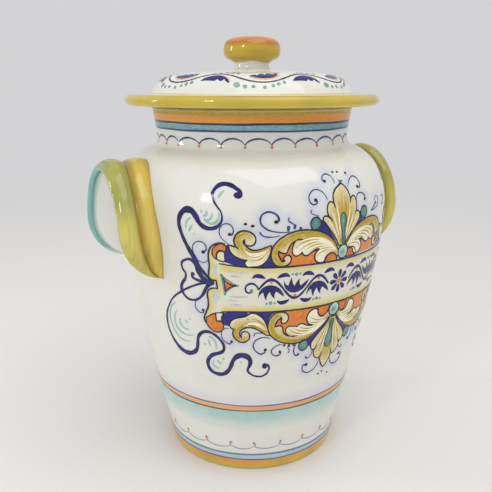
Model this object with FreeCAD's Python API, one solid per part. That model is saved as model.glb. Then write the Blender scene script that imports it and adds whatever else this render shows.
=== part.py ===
import FreeCAD, Part
import math
import os

# A lidded biscuit jar of glazed earthenware, with two lifting handles.
# Millimetres, +Z up, origin at the centre of the foot.
# The painted front faces -Y, and the handles stand on -X and +X.

os.makedirs("parts", exist_ok=True)

# Jar body: a thrown wall that swells to a belly and closes to a flared neck
foot_radius = 64.3
side_slope = 0.21
side_reach = 82.0
belly_radius = 98.2
belly_height = 190.0
belly_lower_reach = 39.0
belly_upper_reach = 6.8
shoulder_rise = 41.0
shoulder_reach = 24.7
shoulder_fall = 0.333
neck_radius = 69.2
neck_root_width = 4.0
neck_root_rise = 7.0
neck_root_tightness = 0.8
neck_rise = 20.5
neck_flare = 3.1
lip_slope = 0.17
lip_round = 2.2
wall = 6.5
wall_samples = 6
height_halvings = 40

# Foot: a turned ring round a shallow recess
base_thickness = 8.0
foot_ring_width = 9.0
foot_recess = 3.0
foot_round = 1.5
floor_corner_round = 12.0

# Lifting handles: two rolled ribs side by side, bent to an arch and luted to the shoulder and belly
handle_projection = 17.8
handle_half_width = 38.0
handle_crown_above_belly = 35.5
handle_spring_below_belly = 16.0
handle_turn_below_belly = 5.0
handle_end_below_belly = 38.5
handle_leg_tuck = 4.0
handle_thickness = 7.4
handle_groove_depth = 3.0
handle_end_thickness = 5.2
handle_end_proud = 3.0
handle_rim_round = 2.6
handle_crest_share = 0.2
handle_root_depth = 22.0
handle_crown_stations = 10
handle_leg_stations = 5
handle_last_turn = 80.0

# Lid: a flange that rests on the lip, a low dome, and a ring that drops into the neck
lid_overhang = 18.0
lid_edge_thickness = 7.3
lid_wall = 5.6
flange_width = 18.0
dome_step = 0.6
dome_shoulder_width = 15.3
dome_shoulder_rise = 12.5
dome_crown_rise = 3.5
dome_side_lean = 3.7
dome_side_reach = 6.2
dome_shoulder_reach = 8.2
dome_shoulder_slope = 0.2
dome_crown_reach = 20.0
ring_depth = 10.0
ring_wall = 5.2
ring_play = 1.6
ring_round = 1.6

# Knob: a squat bun on a short stem
knob_stem_radius = 12.2
knob_stem_spread = 1.2
knob_stem_rise = 3.2
knob_under_width = 3.0
knob_under_rise = 3.4
knob_bun_radius = 20.2
knob_bun_lower_rise = 6.4
knob_bun_upper_rise = 9.7
knob_bun_fullness = 0.8
knob_root_depth = 4.0

neck_height = belly_height + shoulder_rise + neck_root_rise
lip_height = neck_height + neck_rise
lip_radius = neck_radius + neck_flare
lid_radius = lip_radius + lid_overhang
dome_foot_radius = lid_radius - flange_width
dome_foot_height = lip_height + lid_edge_thickness + dome_step


def point(radius, height):
    """A profile point in the XZ plane."""
    return FreeCAD.Vector(radius, 0.0, height)


def bezier(*poles):
    """A Bezier curve in the profile plane, from (radius, height) poles."""
    curve = Part.BezierCurve()
    curve.setPoles([point(radius, height) for radius, height in poles])
    return curve


def smooth(points):
    """A spline through a row of points."""
    curve = Part.BSplineCurve()
    curve.interpolate(points)
    return curve.toShape()


def line(start, end):
    return Part.LineSegment(start, end).toShape()


def arc(start, middle, end):
    return Part.Arc(start, middle, end).toShape()


def revolve(edges):
    """A solid turned about Z from a closed outline."""
    face = Part.Face(Part.Wire(edges))
    return face.revolve(FreeCAD.Vector(0, 0, 0), FreeCAD.Vector(0, 0, 1), 360)


def disc(radius, low, high):
    """A plain round blank between two heights."""
    return Part.makeCylinder(radius, high - low, point(0, low))


def inset(curves, distance, samples):
    """Points on the far side of a wall whose outer face is a row of curves, drawn upwards."""
    points = []
    for curve in curves:
        span = curve.LastParameter - curve.FirstParameter
        count = samples + 1 if curve is curves[-1] else samples
        for index in range(count):
            at = curve.FirstParameter + span * index / samples
            along = curve.tangent(at)[0]
            points.append(curve.value(at) + FreeCAD.Vector(-along.z, 0, along.x) * distance)
    return points


def ring_edges(solid, height, radius, slack=0.4):
    """The round edges of a turned solid at a height and radius."""
    found = []
    for edge in solid.Edges:
        box = edge.BoundBox
        level = box.ZLength < 0.01 and abs(box.ZMin - height) < slack
        if level and abs(box.XMax - radius) < slack:
            found.append(edge)
    return found


def body_curves():
    """The outer face of the jar from its foot to its lip."""
    shoulder_end = (neck_radius + neck_root_width, belly_height + shoulder_rise)
    shoulder_pole = (shoulder_end[0] + shoulder_reach * math.cos(math.atan(shoulder_fall)),
                     shoulder_end[1] - shoulder_reach * math.sin(math.atan(shoulder_fall)))
    root_run = neck_root_width * neck_root_tightness
    root_pole = (shoulder_end[0] - root_run, shoulder_end[1] + root_run * shoulder_fall)
    side = bezier((foot_radius, 0),
                  (foot_radius + side_slope * side_reach, side_reach),
                  (belly_radius, belly_height - belly_lower_reach),
                  (belly_radius, belly_height))
    shoulder = bezier((belly_radius, belly_height),
                      (belly_radius, belly_height + belly_upper_reach),
                      shoulder_pole,
                      shoulder_end)
    root = bezier(shoulder_end,
                  root_pole,
                  (neck_radius, neck_height - neck_root_rise / 2),
                  (neck_radius, neck_height))
    flare = bezier((neck_radius, neck_height),
                   (neck_radius, neck_height + neck_rise / 4),
                   (lip_radius - lip_slope * neck_rise / 3, lip_height - neck_rise / 3),
                   (lip_radius, lip_height))
    return [side, shoulder, root, flare]


def body_blank(curves):
    """The jar as a full solid, with no hollow."""
    edges = [curve.toShape() for curve in curves]
    top = point(0, lip_height)
    edges.append(line(point(lip_radius, lip_height), top))
    edges.append(line(top, point(0, 0)))
    edges.append(line(point(0, 0), point(foot_radius, 0)))
    return revolve(edges)


def make_body(curves, blank):
    """The thrown jar: one wall, a floor, a rounded lip and a turned foot ring."""
    wall_points = [at for at in inset(curves, wall, wall_samples) if at.z > base_thickness]
    mouth = wall_points[-1]
    above = point(mouth.x, lip_height + wall)
    first = point(wall_points[0].x - side_slope * (wall_points[0].z - base_thickness), base_thickness)
    hollow = revolve([
        line(point(0, base_thickness), first),
        smooth([first] + wall_points),
        line(mouth, above),
        line(above, point(0, above.z)),
        line(point(0, above.z), point(0, base_thickness)),
    ])
    hollow = hollow.makeFillet(floor_corner_round, ring_edges(hollow, base_thickness, first.x))
    recess_radius = foot_radius - foot_ring_width
    recess = disc(recess_radius, -foot_recess, foot_recess)
    recess = recess.makeFillet(foot_recess / 3, ring_edges(recess, foot_recess, recess_radius))
    body = blank.cut(hollow).cut(recess)
    foot_edges = ring_edges(body, 0, foot_radius) + ring_edges(body, 0, recess_radius)
    body = body.makeFillet(foot_round, foot_edges)
    lip_edges = [edge for edge in body.Edges if edge.BoundBox.ZMin > lip_height - 0.01]
    return body.makeFillet(lip_round, lip_edges)


def radius_at(curves, height):
    """The jar's outer radius at a height."""
    for curve in curves:
        low, high = curve.FirstParameter, curve.LastParameter
        if not curve.value(low).z <= height <= curve.value(high).z:
            continue
        for _ in range(height_halvings):
            middle = (low + high) / 2
            if curve.value(middle).z < height:
                low = middle
            else:
                high = middle
        return curve.value(low).x
    return lip_radius


def handle_stations():
    """Slices along the arch: across, height, outward direction and how far the rim stands out."""
    spring = belly_height - handle_spring_below_belly
    turn = belly_height - handle_turn_below_belly
    end = belly_height - handle_end_below_belly
    crown_rise = belly_height + handle_crown_above_belly - spring
    half = []
    for index in range(handle_leg_stations):
        angle = math.radians(handle_last_turn * (1 - index / handle_leg_stations))
        height = turn - (turn - end) * math.sin(angle)
        below = max(spring - height, 0) / (spring - end)
        if height < spring:
            across = handle_half_width - handle_leg_tuck * below ** 2
            lean = 2 * handle_leg_tuck * below / (spring - end)
            normal = (1, -lean)
        else:
            up_the_arch = math.asin((height - spring) / crown_rise)
            across, height, normal = arch_point(up_the_arch, crown_rise, spring)
        half.append((across, height, normal, math.cos(angle)))
    first = math.asin((turn - spring) / crown_rise)
    for index in range(handle_crown_stations + 1):
        angle = first + (math.pi / 2 - first) * index / handle_crown_stations
        across, height, normal = arch_point(angle, crown_rise, spring)
        half.append((across, height, normal, 1.0))
    other = [(-across, height, (-normal[0], normal[1]), share)
             for across, height, normal, share in reversed(half[:-1])]
    return half + other


def arch_point(angle, crown_rise, spring):
    """A point and outward direction on the arch of the handle's crown."""
    across = handle_half_width * math.cos(angle)
    height = spring + crown_rise * math.sin(angle)
    return across, height, (math.cos(angle) / handle_half_width, math.sin(angle) / crown_rise)


def handle_section(curves, station):
    """One slice across the handle: a flat inner face, a rounded rim and two ribs with a groove between."""
    across, height, normal, share = station
    length = math.hypot(*normal)
    side, up = normal[0] / length, normal[1] / length
    skin = math.sqrt(radius_at(curves, height) ** 2 - across ** 2)
    rim = (skin + handle_end_proud) * (1 - share) + (belly_radius + handle_projection) * share
    thickness = handle_end_thickness + (handle_thickness - handle_end_thickness) * share
    width = rim - skin
    groove = thickness - handle_groove_depth * share

    def at(out, thick):
        lift = thick - thickness
        return FreeCAD.Vector(out, across + side * lift, height + up * lift)

    round_size = min(handle_rim_round, width / 4)
    round_bulge = round_size * (1 - math.sqrt(0.5))
    crest_inset = width * handle_crest_share
    middle = skin + width / 2
    root = skin - handle_root_depth
    corners = [
        at(root, 0),
        at(rim - round_size, 0),
        at(rim, round_size),
        at(middle, groove),
        at(skin - crest_inset / 2, groove),
        at(root, groove),
    ]
    return Part.Wire([
        line(corners[0], corners[1]),
        arc(corners[1], at(rim - round_bulge, round_bulge), corners[2]),
        arc(corners[2], at(rim - crest_inset, thickness), corners[3]),
        arc(corners[3], at(skin + crest_inset, thickness), corners[4]),
        line(corners[4], corners[5]),
        line(corners[5], corners[0]),
    ])


def make_handle(curves, blank):
    """One handle on the +X side, fitted face to face on the jar."""
    sections = [handle_section(curves, station) for station in handle_stations()]
    return Part.makeLoft(sections, True, False).cut(blank)


def dome_curves():
    """The lid's upper face from the foot of the dome to its middle, drawn inwards."""
    shoulder = (dome_foot_radius - dome_shoulder_width, dome_foot_height + dome_shoulder_rise)
    slope = dome_shoulder_slope
    side = bezier((dome_foot_radius, dome_foot_height),
                  (dome_foot_radius - dome_side_lean, dome_foot_height + dome_side_reach),
                  (shoulder[0] + dome_shoulder_reach, shoulder[1] - dome_shoulder_reach * slope),
                  shoulder)
    crown = bezier(shoulder,
                   (shoulder[0] - dome_crown_reach / 2, shoulder[1] + dome_crown_reach / 2 * slope),
                   (dome_crown_reach, shoulder[1] + dome_crown_rise),
                   (0, shoulder[1] + dome_crown_rise))
    return [side, crown]


def make_lid(curves):
    """The lid: flange, dome and locating ring, hollow underneath."""
    edge_round = lid_edge_thickness / 2
    flange_top = lip_height + lid_edge_thickness
    dome = dome_curves()
    edges = [
        line(point(0, lip_height), point(lid_radius - edge_round, lip_height)),
        arc(point(lid_radius - edge_round, lip_height),
            point(lid_radius, lip_height + edge_round),
            point(lid_radius - edge_round, flange_top)),
        line(point(lid_radius - edge_round, flange_top), point(dome_foot_radius, dome_foot_height)),
    ]
    edges += [curve.toShape() for curve in dome]
    edges.append(line(dome[-1].value(dome[-1].LastParameter), point(0, lip_height)))
    cap = revolve(edges)
    mouth_radius = inner_radius_at(curves, lip_height - ring_depth)
    ring_radius = mouth_radius - ring_play
    ring = disc(ring_radius, lip_height - ring_depth, lip_height)
    under = inset(dome, lid_wall, wall_samples)
    low = lip_height - ring_depth - wall
    under[-1] = point(0, under[-1].z)
    vault = revolve([
        line(point(0, low), point(under[0].x, low)),
        line(point(under[0].x, low), under[0]),
        smooth(under),
        line(under[-1], point(0, low)),
    ])
    hollow = disc(ring_radius - ring_wall, low, dome_foot_height + dome_shoulder_rise).common(vault)
    lid = cap.fuse(ring).removeSplitter().cut(hollow)
    ring_low = lip_height - ring_depth
    low_edges = ring_edges(lid, ring_low, ring_radius) + ring_edges(lid, ring_low, ring_radius - ring_wall)
    return cap, lid.makeFillet(ring_round, low_edges)


def inner_radius_at(curves, height):
    """The jar's inner radius at a height in the flared neck."""
    return radius_at(curves, height) - wall


def make_knob(cap):
    """The knob, seated on the dome of the lid."""
    seat = dome_foot_height + dome_shoulder_rise + dome_crown_rise
    waist = seat + knob_stem_rise
    under = waist + knob_under_rise
    widest = under + knob_bun_lower_rise
    top = widest + knob_bun_upper_rise
    stem_foot = knob_stem_radius + knob_stem_spread
    under_radius = knob_stem_radius + knob_under_width
    full = knob_bun_fullness
    low = point(stem_foot, seat - knob_root_depth)
    edges = [
        line(point(0, low.z), low),
        line(low, point(stem_foot, seat)),
        bezier((stem_foot, seat),
               (knob_stem_radius, seat + knob_stem_rise / 3),
               (knob_stem_radius, waist - knob_stem_rise / 3),
               (knob_stem_radius, waist)).toShape(),
        bezier((knob_stem_radius, waist),
               (knob_stem_radius, waist + knob_under_rise / 2),
               (under_radius - knob_under_width / 2, under - knob_under_rise / 4),
               (under_radius, under)).toShape(),
        bezier((under_radius, under),
               (under_radius + (knob_bun_radius - under_radius) * full, under + knob_under_rise / 3),
               (knob_bun_radius, widest - knob_bun_lower_rise / 2),
               (knob_bun_radius, widest)).toShape(),
        bezier((knob_bun_radius, widest),
               (knob_bun_radius, widest + knob_bun_upper_rise * full),
               (knob_bun_radius * full, top),
               (0, top)).toShape(),
        line(point(0, top), point(0, low.z)),
    ]
    return revolve(edges).cut(cap)


def save(name, solid):
    """Write one piece and print its size."""
    box = solid.BoundBox
    sizes = (box.XLength, box.YLength, box.ZLength)
    print(name, "valid", solid.isValid(), "solids", len(solid.Solids),
          "size", [round(size, 1) for size in sizes], "volume", round(solid.Volume))
    solid.exportStep("parts/" + name + ".step")


outer_curves = body_curves()
jar_blank = body_blank(outer_curves)
lid_blank, lid = make_lid(outer_curves)
right_handle = make_handle(outer_curves, jar_blank)
left_handle = right_handle.rotated(FreeCAD.Vector(0, 0, 0), FreeCAD.Vector(0, 0, 1), 180)

save("jar_body", make_body(outer_curves, jar_blank))
save("right_handle", right_handle)
save("left_handle", left_handle)
save("lid", lid)
save("knob", make_knob(lid_blank))
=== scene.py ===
# %% [markdown]
# A lidded biscuit jar of tin-glazed earthenware, painted by hand.
# The jar and lid were thrown on a wheel, the two handles and the knob were luted on, and the
# colours were brushed over the raw white glaze before the last firing.
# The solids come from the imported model. This file gives each one a finer skin of the same shape,
# and lays the painting on it as thin coats of colour, stroke by stroke.

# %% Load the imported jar
import math
import random

import bpy
import numpy as np
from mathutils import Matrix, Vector
from mathutils.kdtree import KDTree
from mathutils.geometry import delaunay_2d_cdt


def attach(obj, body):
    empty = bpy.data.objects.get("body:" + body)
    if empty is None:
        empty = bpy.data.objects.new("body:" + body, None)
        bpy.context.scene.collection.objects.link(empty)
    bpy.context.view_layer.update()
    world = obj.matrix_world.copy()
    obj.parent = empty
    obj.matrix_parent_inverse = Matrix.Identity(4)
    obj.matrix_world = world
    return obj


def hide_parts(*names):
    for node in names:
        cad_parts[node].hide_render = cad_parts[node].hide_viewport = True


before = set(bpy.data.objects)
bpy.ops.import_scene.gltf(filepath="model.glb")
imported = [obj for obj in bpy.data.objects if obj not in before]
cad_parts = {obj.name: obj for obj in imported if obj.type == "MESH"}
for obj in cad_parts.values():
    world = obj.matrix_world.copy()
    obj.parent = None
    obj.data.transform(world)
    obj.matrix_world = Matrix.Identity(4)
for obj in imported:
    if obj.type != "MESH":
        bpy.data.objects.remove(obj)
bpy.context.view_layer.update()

# %% [markdown]
# Pots are drawn as a half outline, a radius for each height, because the wheel makes the rest.
# A curve with four poles gives each stretch of the wall, as it does in the solid model, so the
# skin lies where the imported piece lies. Everything is drawn in millimetres here and turned into
# metres where a mesh is made. The skin stands a third of a millimetre inside the finished size,
# which leaves room for the paint.

# %% Helpers for outlines
MM = 0.001
PAINT_ROOM = 0.35


def bezier(poles, count=24):
    """Points along a curve that is drawn with four poles."""
    first, second, third, last = (np.array(pole, float) for pole in poles)
    t = np.linspace(0, 1, count + 1)[:, None]
    return (1 - t) ** 3 * first + 3 * (1 - t) ** 2 * t * second + 3 * (1 - t) * t ** 2 * third + t ** 3 * last


def arc(centre, radius, start, end, count=8):
    """Points on an arc between two angles in degrees."""
    angles = np.radians(np.linspace(start, end, count + 1))
    return np.column_stack([centre[0] + radius * np.cos(angles), centre[1] + radius * np.sin(angles)])


def joined(*runs):
    """Runs of points end to end, with no point twice."""
    points = np.vstack([np.atleast_2d(np.array(run, float)) for run in runs])
    step = np.hypot(*np.diff(points, axis=0).T)
    return points[np.r_[True, step > 1e-4]]


def normals(outline):
    """Unit directions square to an outline, to its right when it is walked."""
    along = np.gradient(outline, axis=0)
    along /= np.hypot(*along.T)[:, None]
    return np.column_stack([along[:, 1], -along[:, 0]])


def inset(outline, depth):
    """The outline moved to its left by a depth."""
    return outline - normals(outline) * depth


print("a quarter circle is drawn with", len(arc((0, 0), 1, 0, 90)), "points")

# %% [markdown]
# These are the sizes of the thrown pieces in millimetres, as in the solid model. The jar's outside
# is four curves that meet without a corner.

# %% Sizes of the thrown jar
foot_radius = 64.3
foot_ring_width = 9.0
foot_recess = 3.0
foot_round = 1.5
belly_radius = 98.2
belly_height = 190.0
shoulder_radius = 73.2
shoulder_height = 231.0
neck_radius = 69.2
neck_height = 238.0
lip_radius = 72.3
lip_height = 258.5
lip_round = 2.2
wall = 6.5
floor_height = 8.0
floor_round = 12.0

outer_wall = joined(
    bezier([(foot_radius, 0), (81.52, 82), (belly_radius, 151), (belly_radius, belly_height)], 80),
    bezier([(belly_radius, belly_height), (belly_radius, 196.8), (96.63, 223.2),
            (shoulder_radius, shoulder_height)], 30),
    bezier([(shoulder_radius, shoulder_height), (70, 232.07), (neck_radius, 234.5),
            (neck_radius, neck_height)], 12),
    bezier([(neck_radius, neck_height), (neck_radius, 243.1), (71.14, 251.67), (lip_radius, lip_height)], 14))
jar_face = inset(outer_wall, PAINT_ROOM)
print("jar face:", len(jar_face), "points, widest", round(jar_face[:, 0].max(), 2), "mm")

# %% [markdown]
# Turning an outline about the axis is one loop. Each point of the outline becomes a ring, and
# neighbouring rings are joined by four-sided faces. A point on the axis closes the piece with a
# fan. A modifier could do the same, but the loop keeps the place of every ring, and the washes
# of colour need that later on.

# %% Turn an outline into a mesh
TURNS = 256


def add_mesh(name, points, faces):
    """A smooth mesh object from points in metres."""
    mesh = bpy.data.meshes.new(name)
    mesh.from_pydata([tuple(point) for point in points], [], faces)
    mesh.polygons.foreach_set("use_smooth", [True] * len(mesh.polygons))
    mesh.update()
    made = bpy.data.objects.new(name, mesh)
    bpy.context.scene.collection.objects.link(made)
    return made


def around(radius, angle, height):
    """A point in metres. Angle 0 is the front of the jar, and it grows towards its right handle."""
    return (radius * math.sin(angle) * MM, -radius * math.cos(angle) * MM, height * MM)


def turned(name, outline, turns=TURNS):
    """A piece turned about the axis."""
    points, faces, rings = [], [], []
    for radius, height in outline:
        first = len(points)
        count = 1 if radius < 1e-6 else turns
        points += [around(radius, 2 * math.pi * i / turns, height) for i in range(count)]
        rings.append([first + i % count for i in range(turns)])
    for low, high in zip(rings, rings[1:]):
        for i in range(turns):
            j = (i + 1) % turns
            corners = [low[i], low[j], high[j], high[i]]
            faces.append(list(dict.fromkeys(corners)))
    return add_mesh(name, points, faces)


def piece(made, body, slot, *nodes):
    """Hand a finished piece to the frame: the body it rides on and what it stands for. The slot for its
    finish is not used.
    """
    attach(made, body)
    if nodes:
        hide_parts(*nodes)
    print(made.name, "faces", len(made.data.polygons))
    return made


print("points round each ring", TURNS)

# %% [markdown]
# The jar is one wall, so its outline runs from the middle of the foot, up the outside, over the
# rounded lip, down the inside and across the floor. The foot is a ring round a shallow recess,
# the way a potter turns it, so that the jar stands on a narrow line.

# %% The thrown jar
ring_inside = foot_radius - foot_ring_width
foot_run = joined(
    [(0, foot_recess), (ring_inside - 1, foot_recess)],
    arc((ring_inside - 1, foot_recess - 1), 1, 90, 0, 4),
    arc((ring_inside + foot_round, foot_round), foot_round, 180, 270, 5),
    arc((foot_radius - PAINT_ROOM - foot_round, foot_round), foot_round, 270, 350, 5))
face_run = jar_face[(jar_face[:, 1] > foot_round) & (jar_face[:, 1] < lip_height - lip_round)]
lip_outer = lip_radius - PAINT_ROOM - lip_round
lip_inner = lip_radius - wall + lip_round
lip_run = joined(
    arc((lip_outer, lip_height - lip_round), lip_round, 10, 90, 6),
    arc((lip_inner, lip_height - lip_round), lip_round, 90, 180, 6))
inner_wall = inset(outer_wall, wall)[::-1]
inner_run = inner_wall[(inner_wall[:, 1] < lip_height - lip_round)
                       & (inner_wall[:, 1] > floor_height + floor_round)]
corner_radius = inner_run[-1, 0] - floor_round
floor_run = joined(
    arc((corner_radius, floor_height + floor_round), floor_round, 0, -90, 8),
    [(corner_radius / 2, floor_height), (0, floor_height)])
jar_outline = joined(foot_run, face_run, lip_run, inner_run, floor_run)
jar = turned("jar_skin", jar_outline)
piece(jar, "jar", "body_glaze", "jar_body")

# %% [markdown]
# The lid is a cap with a broad round-edged flange, a low dome, and a ring underneath that drops
# into the neck. It is hollow below, so the dome has an even wall and doesn't crack in the kiln.

# %% The lid
lid_radius = 90.3
flange_thickness = 7.3
dome_foot = (72.3, 266.4)
dome_shoulder = (57.0, 278.9)
dome_top = 282.4
lid_wall = 5.6
ring_radius = 62.4
ring_wall = 5.2
ring_low = 248.5
ring_round = 1.6

edge_round = flange_thickness / 2
flange_edge = (lid_radius - edge_round, lip_height + edge_round)
dome = joined(
    bezier([dome_foot, (68.6, 272.6), (65.2, 277.26), dome_shoulder], 24),
    bezier([dome_shoulder, (47, 280.9), (20, dome_top), (0, dome_top)], 30))
vault = inset(dome, lid_wall)[::-1]
vault = vault[vault[:, 0] < ring_radius - ring_wall]
lid_outline = joined(
    [(0, dome_top - lid_wall)],
    vault[vault[:, 0] > 0.5],
    [(ring_radius - ring_wall, vault[-1, 1] - 1)],
    arc((ring_radius - ring_wall + ring_round, ring_low + ring_round), ring_round, 180, 270, 5),
    arc((ring_radius - ring_round, ring_low + ring_round), ring_round, 270, 360, 5),
    [(ring_radius, lip_height - 0.4), (ring_radius + 0.4, lip_height)],
    [(lip_radius, lip_height)],
    arc(flange_edge, edge_round, -90, 90, 16),
    [(79.5, 266.1), (74.2, 266.3)],
    [(72.9, 266.6)],
    dome[1:])
lid = turned("lid_skin", lid_outline)
piece(lid, "lid", "lid_glaze", "lid")

# %% [markdown]
# The knob is a squat bun on a short stem. Its outline is four curves, and the stem's foot is
# sunk a little into the dome, where the real one is stuck on with slip.

# %% The knob
KNOB_TURNS = 96
knob_foot = 280.5
stem_foot_radius = 13.4
stem_radius = 12.2
stem_height = 285.6
bun_low = (15.2, 289.0)
bun_radius = 20.2
bun_middle = 295.4
knob_height = 305.1

knob_outline = joined(
    [(0, knob_foot), (stem_foot_radius, knob_foot)],
    bezier([(stem_foot_radius, dome_top), (stem_radius, 283.47), (stem_radius, 284.53),
            (stem_radius, stem_height)], 6),
    bezier([(stem_radius, stem_height), (stem_radius, 287.3), (13.7, 288.15), bun_low], 8),
    bezier([bun_low, (19.2, 290.13), (bun_radius, 292.2), (bun_radius, bun_middle)], 10),
    bezier([(bun_radius, bun_middle), (bun_radius, 303.16), (16.16, knob_height), (0, knob_height)], 24))
knob = turned("knob_skin", knob_outline, KNOB_TURNS)
piece(knob, "lid", "knob_glaze", "knob")

# %% [markdown]
# Each handle is a strap of two rolled ribs, bent to an arch and stuck to the belly by both legs.
# It could be a curve with a bevel, but its section changes: it stands well out at the crown and
# dies into the wall at the ends. So it is lofted, one section after another along the arch, and
# the inner side of each section reaches into the wall.

# %% Slices along the arch
handle_rim = 115.9
handle_half_width = 38.0
handle_crown = 225.5
handle_spring = 174.0
handle_turn = 185.0
handle_end = 151.5
leg_tuck = 4.0
rib_thickness = 7.4
end_thickness = 5.2
groove_depth = 3.0
end_proud = 3.0
rim_round = 2.6
crest_share = 0.2
root_depth = 4.0
crown_stations = 34
leg_stations = 16
tip_across = 34.1
tip_drop = 1.1
tip_lean = -0.35
tip_share = -0.22


def face_radius(height):
    """The jar's radius at a height."""
    return float(np.interp(height, jar_face[:, 1], jar_face[:, 0]))


def arch_station(angle):
    """Across, height and outward direction on the crown of the arch."""
    rise = handle_crown - handle_spring
    across = handle_half_width * math.cos(angle)
    height = handle_spring + rise * math.sin(angle)
    return across, height, Vector((math.cos(angle) / handle_half_width, math.sin(angle) / rise)).normalized()


def handle_stations():
    """Slices from one leg over the crown to the other: place, direction and how far it stands out."""
    half = [(tip_across, handle_end - tip_drop, Vector((1, tip_lean)).normalized(), tip_share)]
    rise = handle_crown - handle_spring
    for index in range(leg_stations):
        angle = math.pi / 2 * (1 - index / leg_stations)
        height = handle_turn - (handle_turn - handle_end) * math.sin(angle)
        if height < handle_spring:
            below = (handle_spring - height) / (handle_spring - handle_end)
            lean = 2 * leg_tuck * below / (handle_spring - handle_end)
            across = handle_half_width - leg_tuck * below ** 2
            half.append((across, height, Vector((1, -lean)).normalized(), math.cos(angle)))
        else:
            half.append((*arch_station(math.asin((height - handle_spring) / rise)), math.cos(angle)))
    first = math.asin((handle_turn - handle_spring) / rise)
    for angle in np.linspace(first, math.pi / 2, crown_stations):
        half.append((*arch_station(angle), 1.0))
    other = [(-across, height, Vector((-out.x, out.y)), share) for across, height, out, share in half[-2::-1]]
    return half + other


print("slices along one handle", len(handle_stations()))

# %% [markdown]
# A slice is flat underneath, with a round rim, the outer rib, a groove and the inner rib. A rib is
# an arc through three points, because it is a rolled coil of clay. Each part keeps its name, since
# the colours follow the same parts.


# %% One slice of a handle
UNDER_POINTS = 14
least_width = 1.2


def three_point_arc(start, middle, end, count):
    """Points on the circle through three points."""
    (ax, ay), (bx, by), (cx, cy) = start, middle, end
    twice = 2 * (ax * (by - cy) + bx * (cy - ay) + cx * (ay - by))
    if abs(twice) < 1e-6:
        return np.linspace(start, end, count + 1)
    a, b, c = ax * ax + ay * ay, bx * bx + by * by, cx * cx + cy * cy
    centre = ((a * (by - cy) + b * (cy - ay) + c * (ay - by)) / twice,
              (a * (cx - bx) + b * (ax - cx) + c * (bx - ax)) / twice)
    radius = math.hypot(ax - centre[0], ay - centre[1])
    first, last = (math.degrees(math.atan2(y - centre[1], x - centre[0])) for x, y in (start, end))
    if last < first:
        last += 360
    return arc(centre, radius, first, last, count)


def handle_section(across, height, share):
    """One slice as (out, thick) points, with the zone of glaze that each point belongs to."""
    skin = math.sqrt(face_radius(height) ** 2 - across ** 2)
    rim = (skin + end_proud) * (1 - share) + handle_rim * share
    share = max(share, 0)
    thickness = end_thickness + (rib_thickness - end_thickness) * share
    groove = thickness - groove_depth * share
    width = max(rim - skin, least_width)
    rim = skin + width if rim > skin else rim
    corner = min(rim_round, width / 4)
    crest = width * crest_share
    root = skin - root_depth
    under = np.column_stack([np.linspace(root, rim - corner, UNDER_POINTS), np.zeros(UNDER_POINTS)])
    runs = [
        ("under", under), ("rim", arc((rim - corner, corner), corner, -90, 0, 5)),
        ("outer", three_point_arc((rim, corner), (rim - crest, thickness), (skin + width / 2, groove), 18)),
        ("inner", three_point_arc((skin + width / 2, groove), (skin + crest, thickness),
                                  (skin - crest / 2, groove), 16)),
        ("root", np.array([(root, groove)]))]
    return [(tuple(point), zone, i / max(len(run) - 1, 1))
            for zone, run in runs for i, point in enumerate(run)]


print("points round one slice", len(handle_section(0, handle_crown, 1.0)))

# %% [markdown]
# The ribs are brushed in two colours and the rim in a third, with a thin line of painted shade
# along the rim's edges, and each colour follows a line along the handle. A colour for each point
# of the section does this: it is stored on the mesh, and the glaze material reads it.


# %% Glaze colours on a handle
def tint(red, green, blue):
    """A screen colour, 0 to 255, as Blender's linear colour."""
    return tuple(((c / 255 + 0.055) / 1.055) ** 2.4 if c > 10 else c / 3294.6 for c in (red, green, blue))


WHITE_GLAZE = tint(229, 228, 219)
# The handles' white is the jar's white glaze painted lighter: painted light on the shaded inner faces of the
# handles.
handle_white_painted_light = tint(246, 246, 243)
handle_teal = tint(126, 180, 172)
# The dark teal is painted shade: a thin darker line along the edges of the rim.
handle_painted_shade_teal = tint(62, 104, 96)
handle_green = tint(202, 190, 96)
handle_moss = tint(136, 144, 76)
handle_olive = tint(180, 160, 66)
handle_groove = tint(160, 138, 48)
handle_ochre = tint(214, 190, 90)
handle_brown = tint(184, 152, 52)

zone_colours = {
    "under": [(0.0, handle_white_painted_light), (0.86, handle_white_painted_light), (0.97, handle_teal)],
    "rim": [(0.0, handle_teal), (1.0, handle_teal)],
    "outer": [(0.0, handle_teal), (0.2, handle_teal), (0.27, handle_painted_shade_teal), (0.31, handle_painted_shade_teal),
              (0.4, handle_green), (0.75, handle_green), (0.9, handle_olive), (1.0, handle_groove)],
    "inner": [(0.0, handle_groove), (0.16, handle_brown), (0.3, handle_ochre), (0.62, handle_ochre),
              (0.8, handle_brown), (1.0, handle_brown)],
    "root": [(0.0, handle_brown), (1.0, handle_brown)]}
front_zones = {
    "under": [(0.0, handle_white_painted_light), (0.93, handle_white_painted_light), (1.0, handle_painted_shade_teal)],
    "rim": [(0.0, handle_painted_shade_teal), (0.2, handle_painted_shade_teal), (0.45, handle_green), (1.0, handle_green)],
    "outer": [(0.0, handle_green), (0.75, handle_green), (0.9, handle_olive), (1.0, handle_groove)]}
print("zones across a handle", list(zone_colours))

# %% [markdown]
# The two legs differ in colour, the outer rib is darker and greener over the crown, and the teal
# stops above the back leg's foot. So a point's colour is found from its zone first, and then
# shifted by where it lies.
# So a point's colour is found from its zone first, and then shifted by where it lies.


# %% The colour at a point of a handle
moss_height = 189
moss_fade = 13
moss_strength = 0.6
teal_stop = 160
teal_fade = 9


def mixed(first, second, share):
    """Two colours in the given share of the second."""
    return [one + (other - one) * share for one, other in zip(first, second)]


def zone_colour(zone, share, front):
    """The colour at a share of the way across one zone. Front is 1 on the leg nearer the front."""
    found = []
    for stops in (zone_colours[zone], front_zones.get(zone, zone_colours[zone])):
        places = [place for place, colour in stops]
        channels = [[colour[i] for place, colour in stops] for i in range(3)]
        found.append([float(np.interp(share, places, channel)) for channel in channels])
    return mixed(*found, front)


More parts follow.
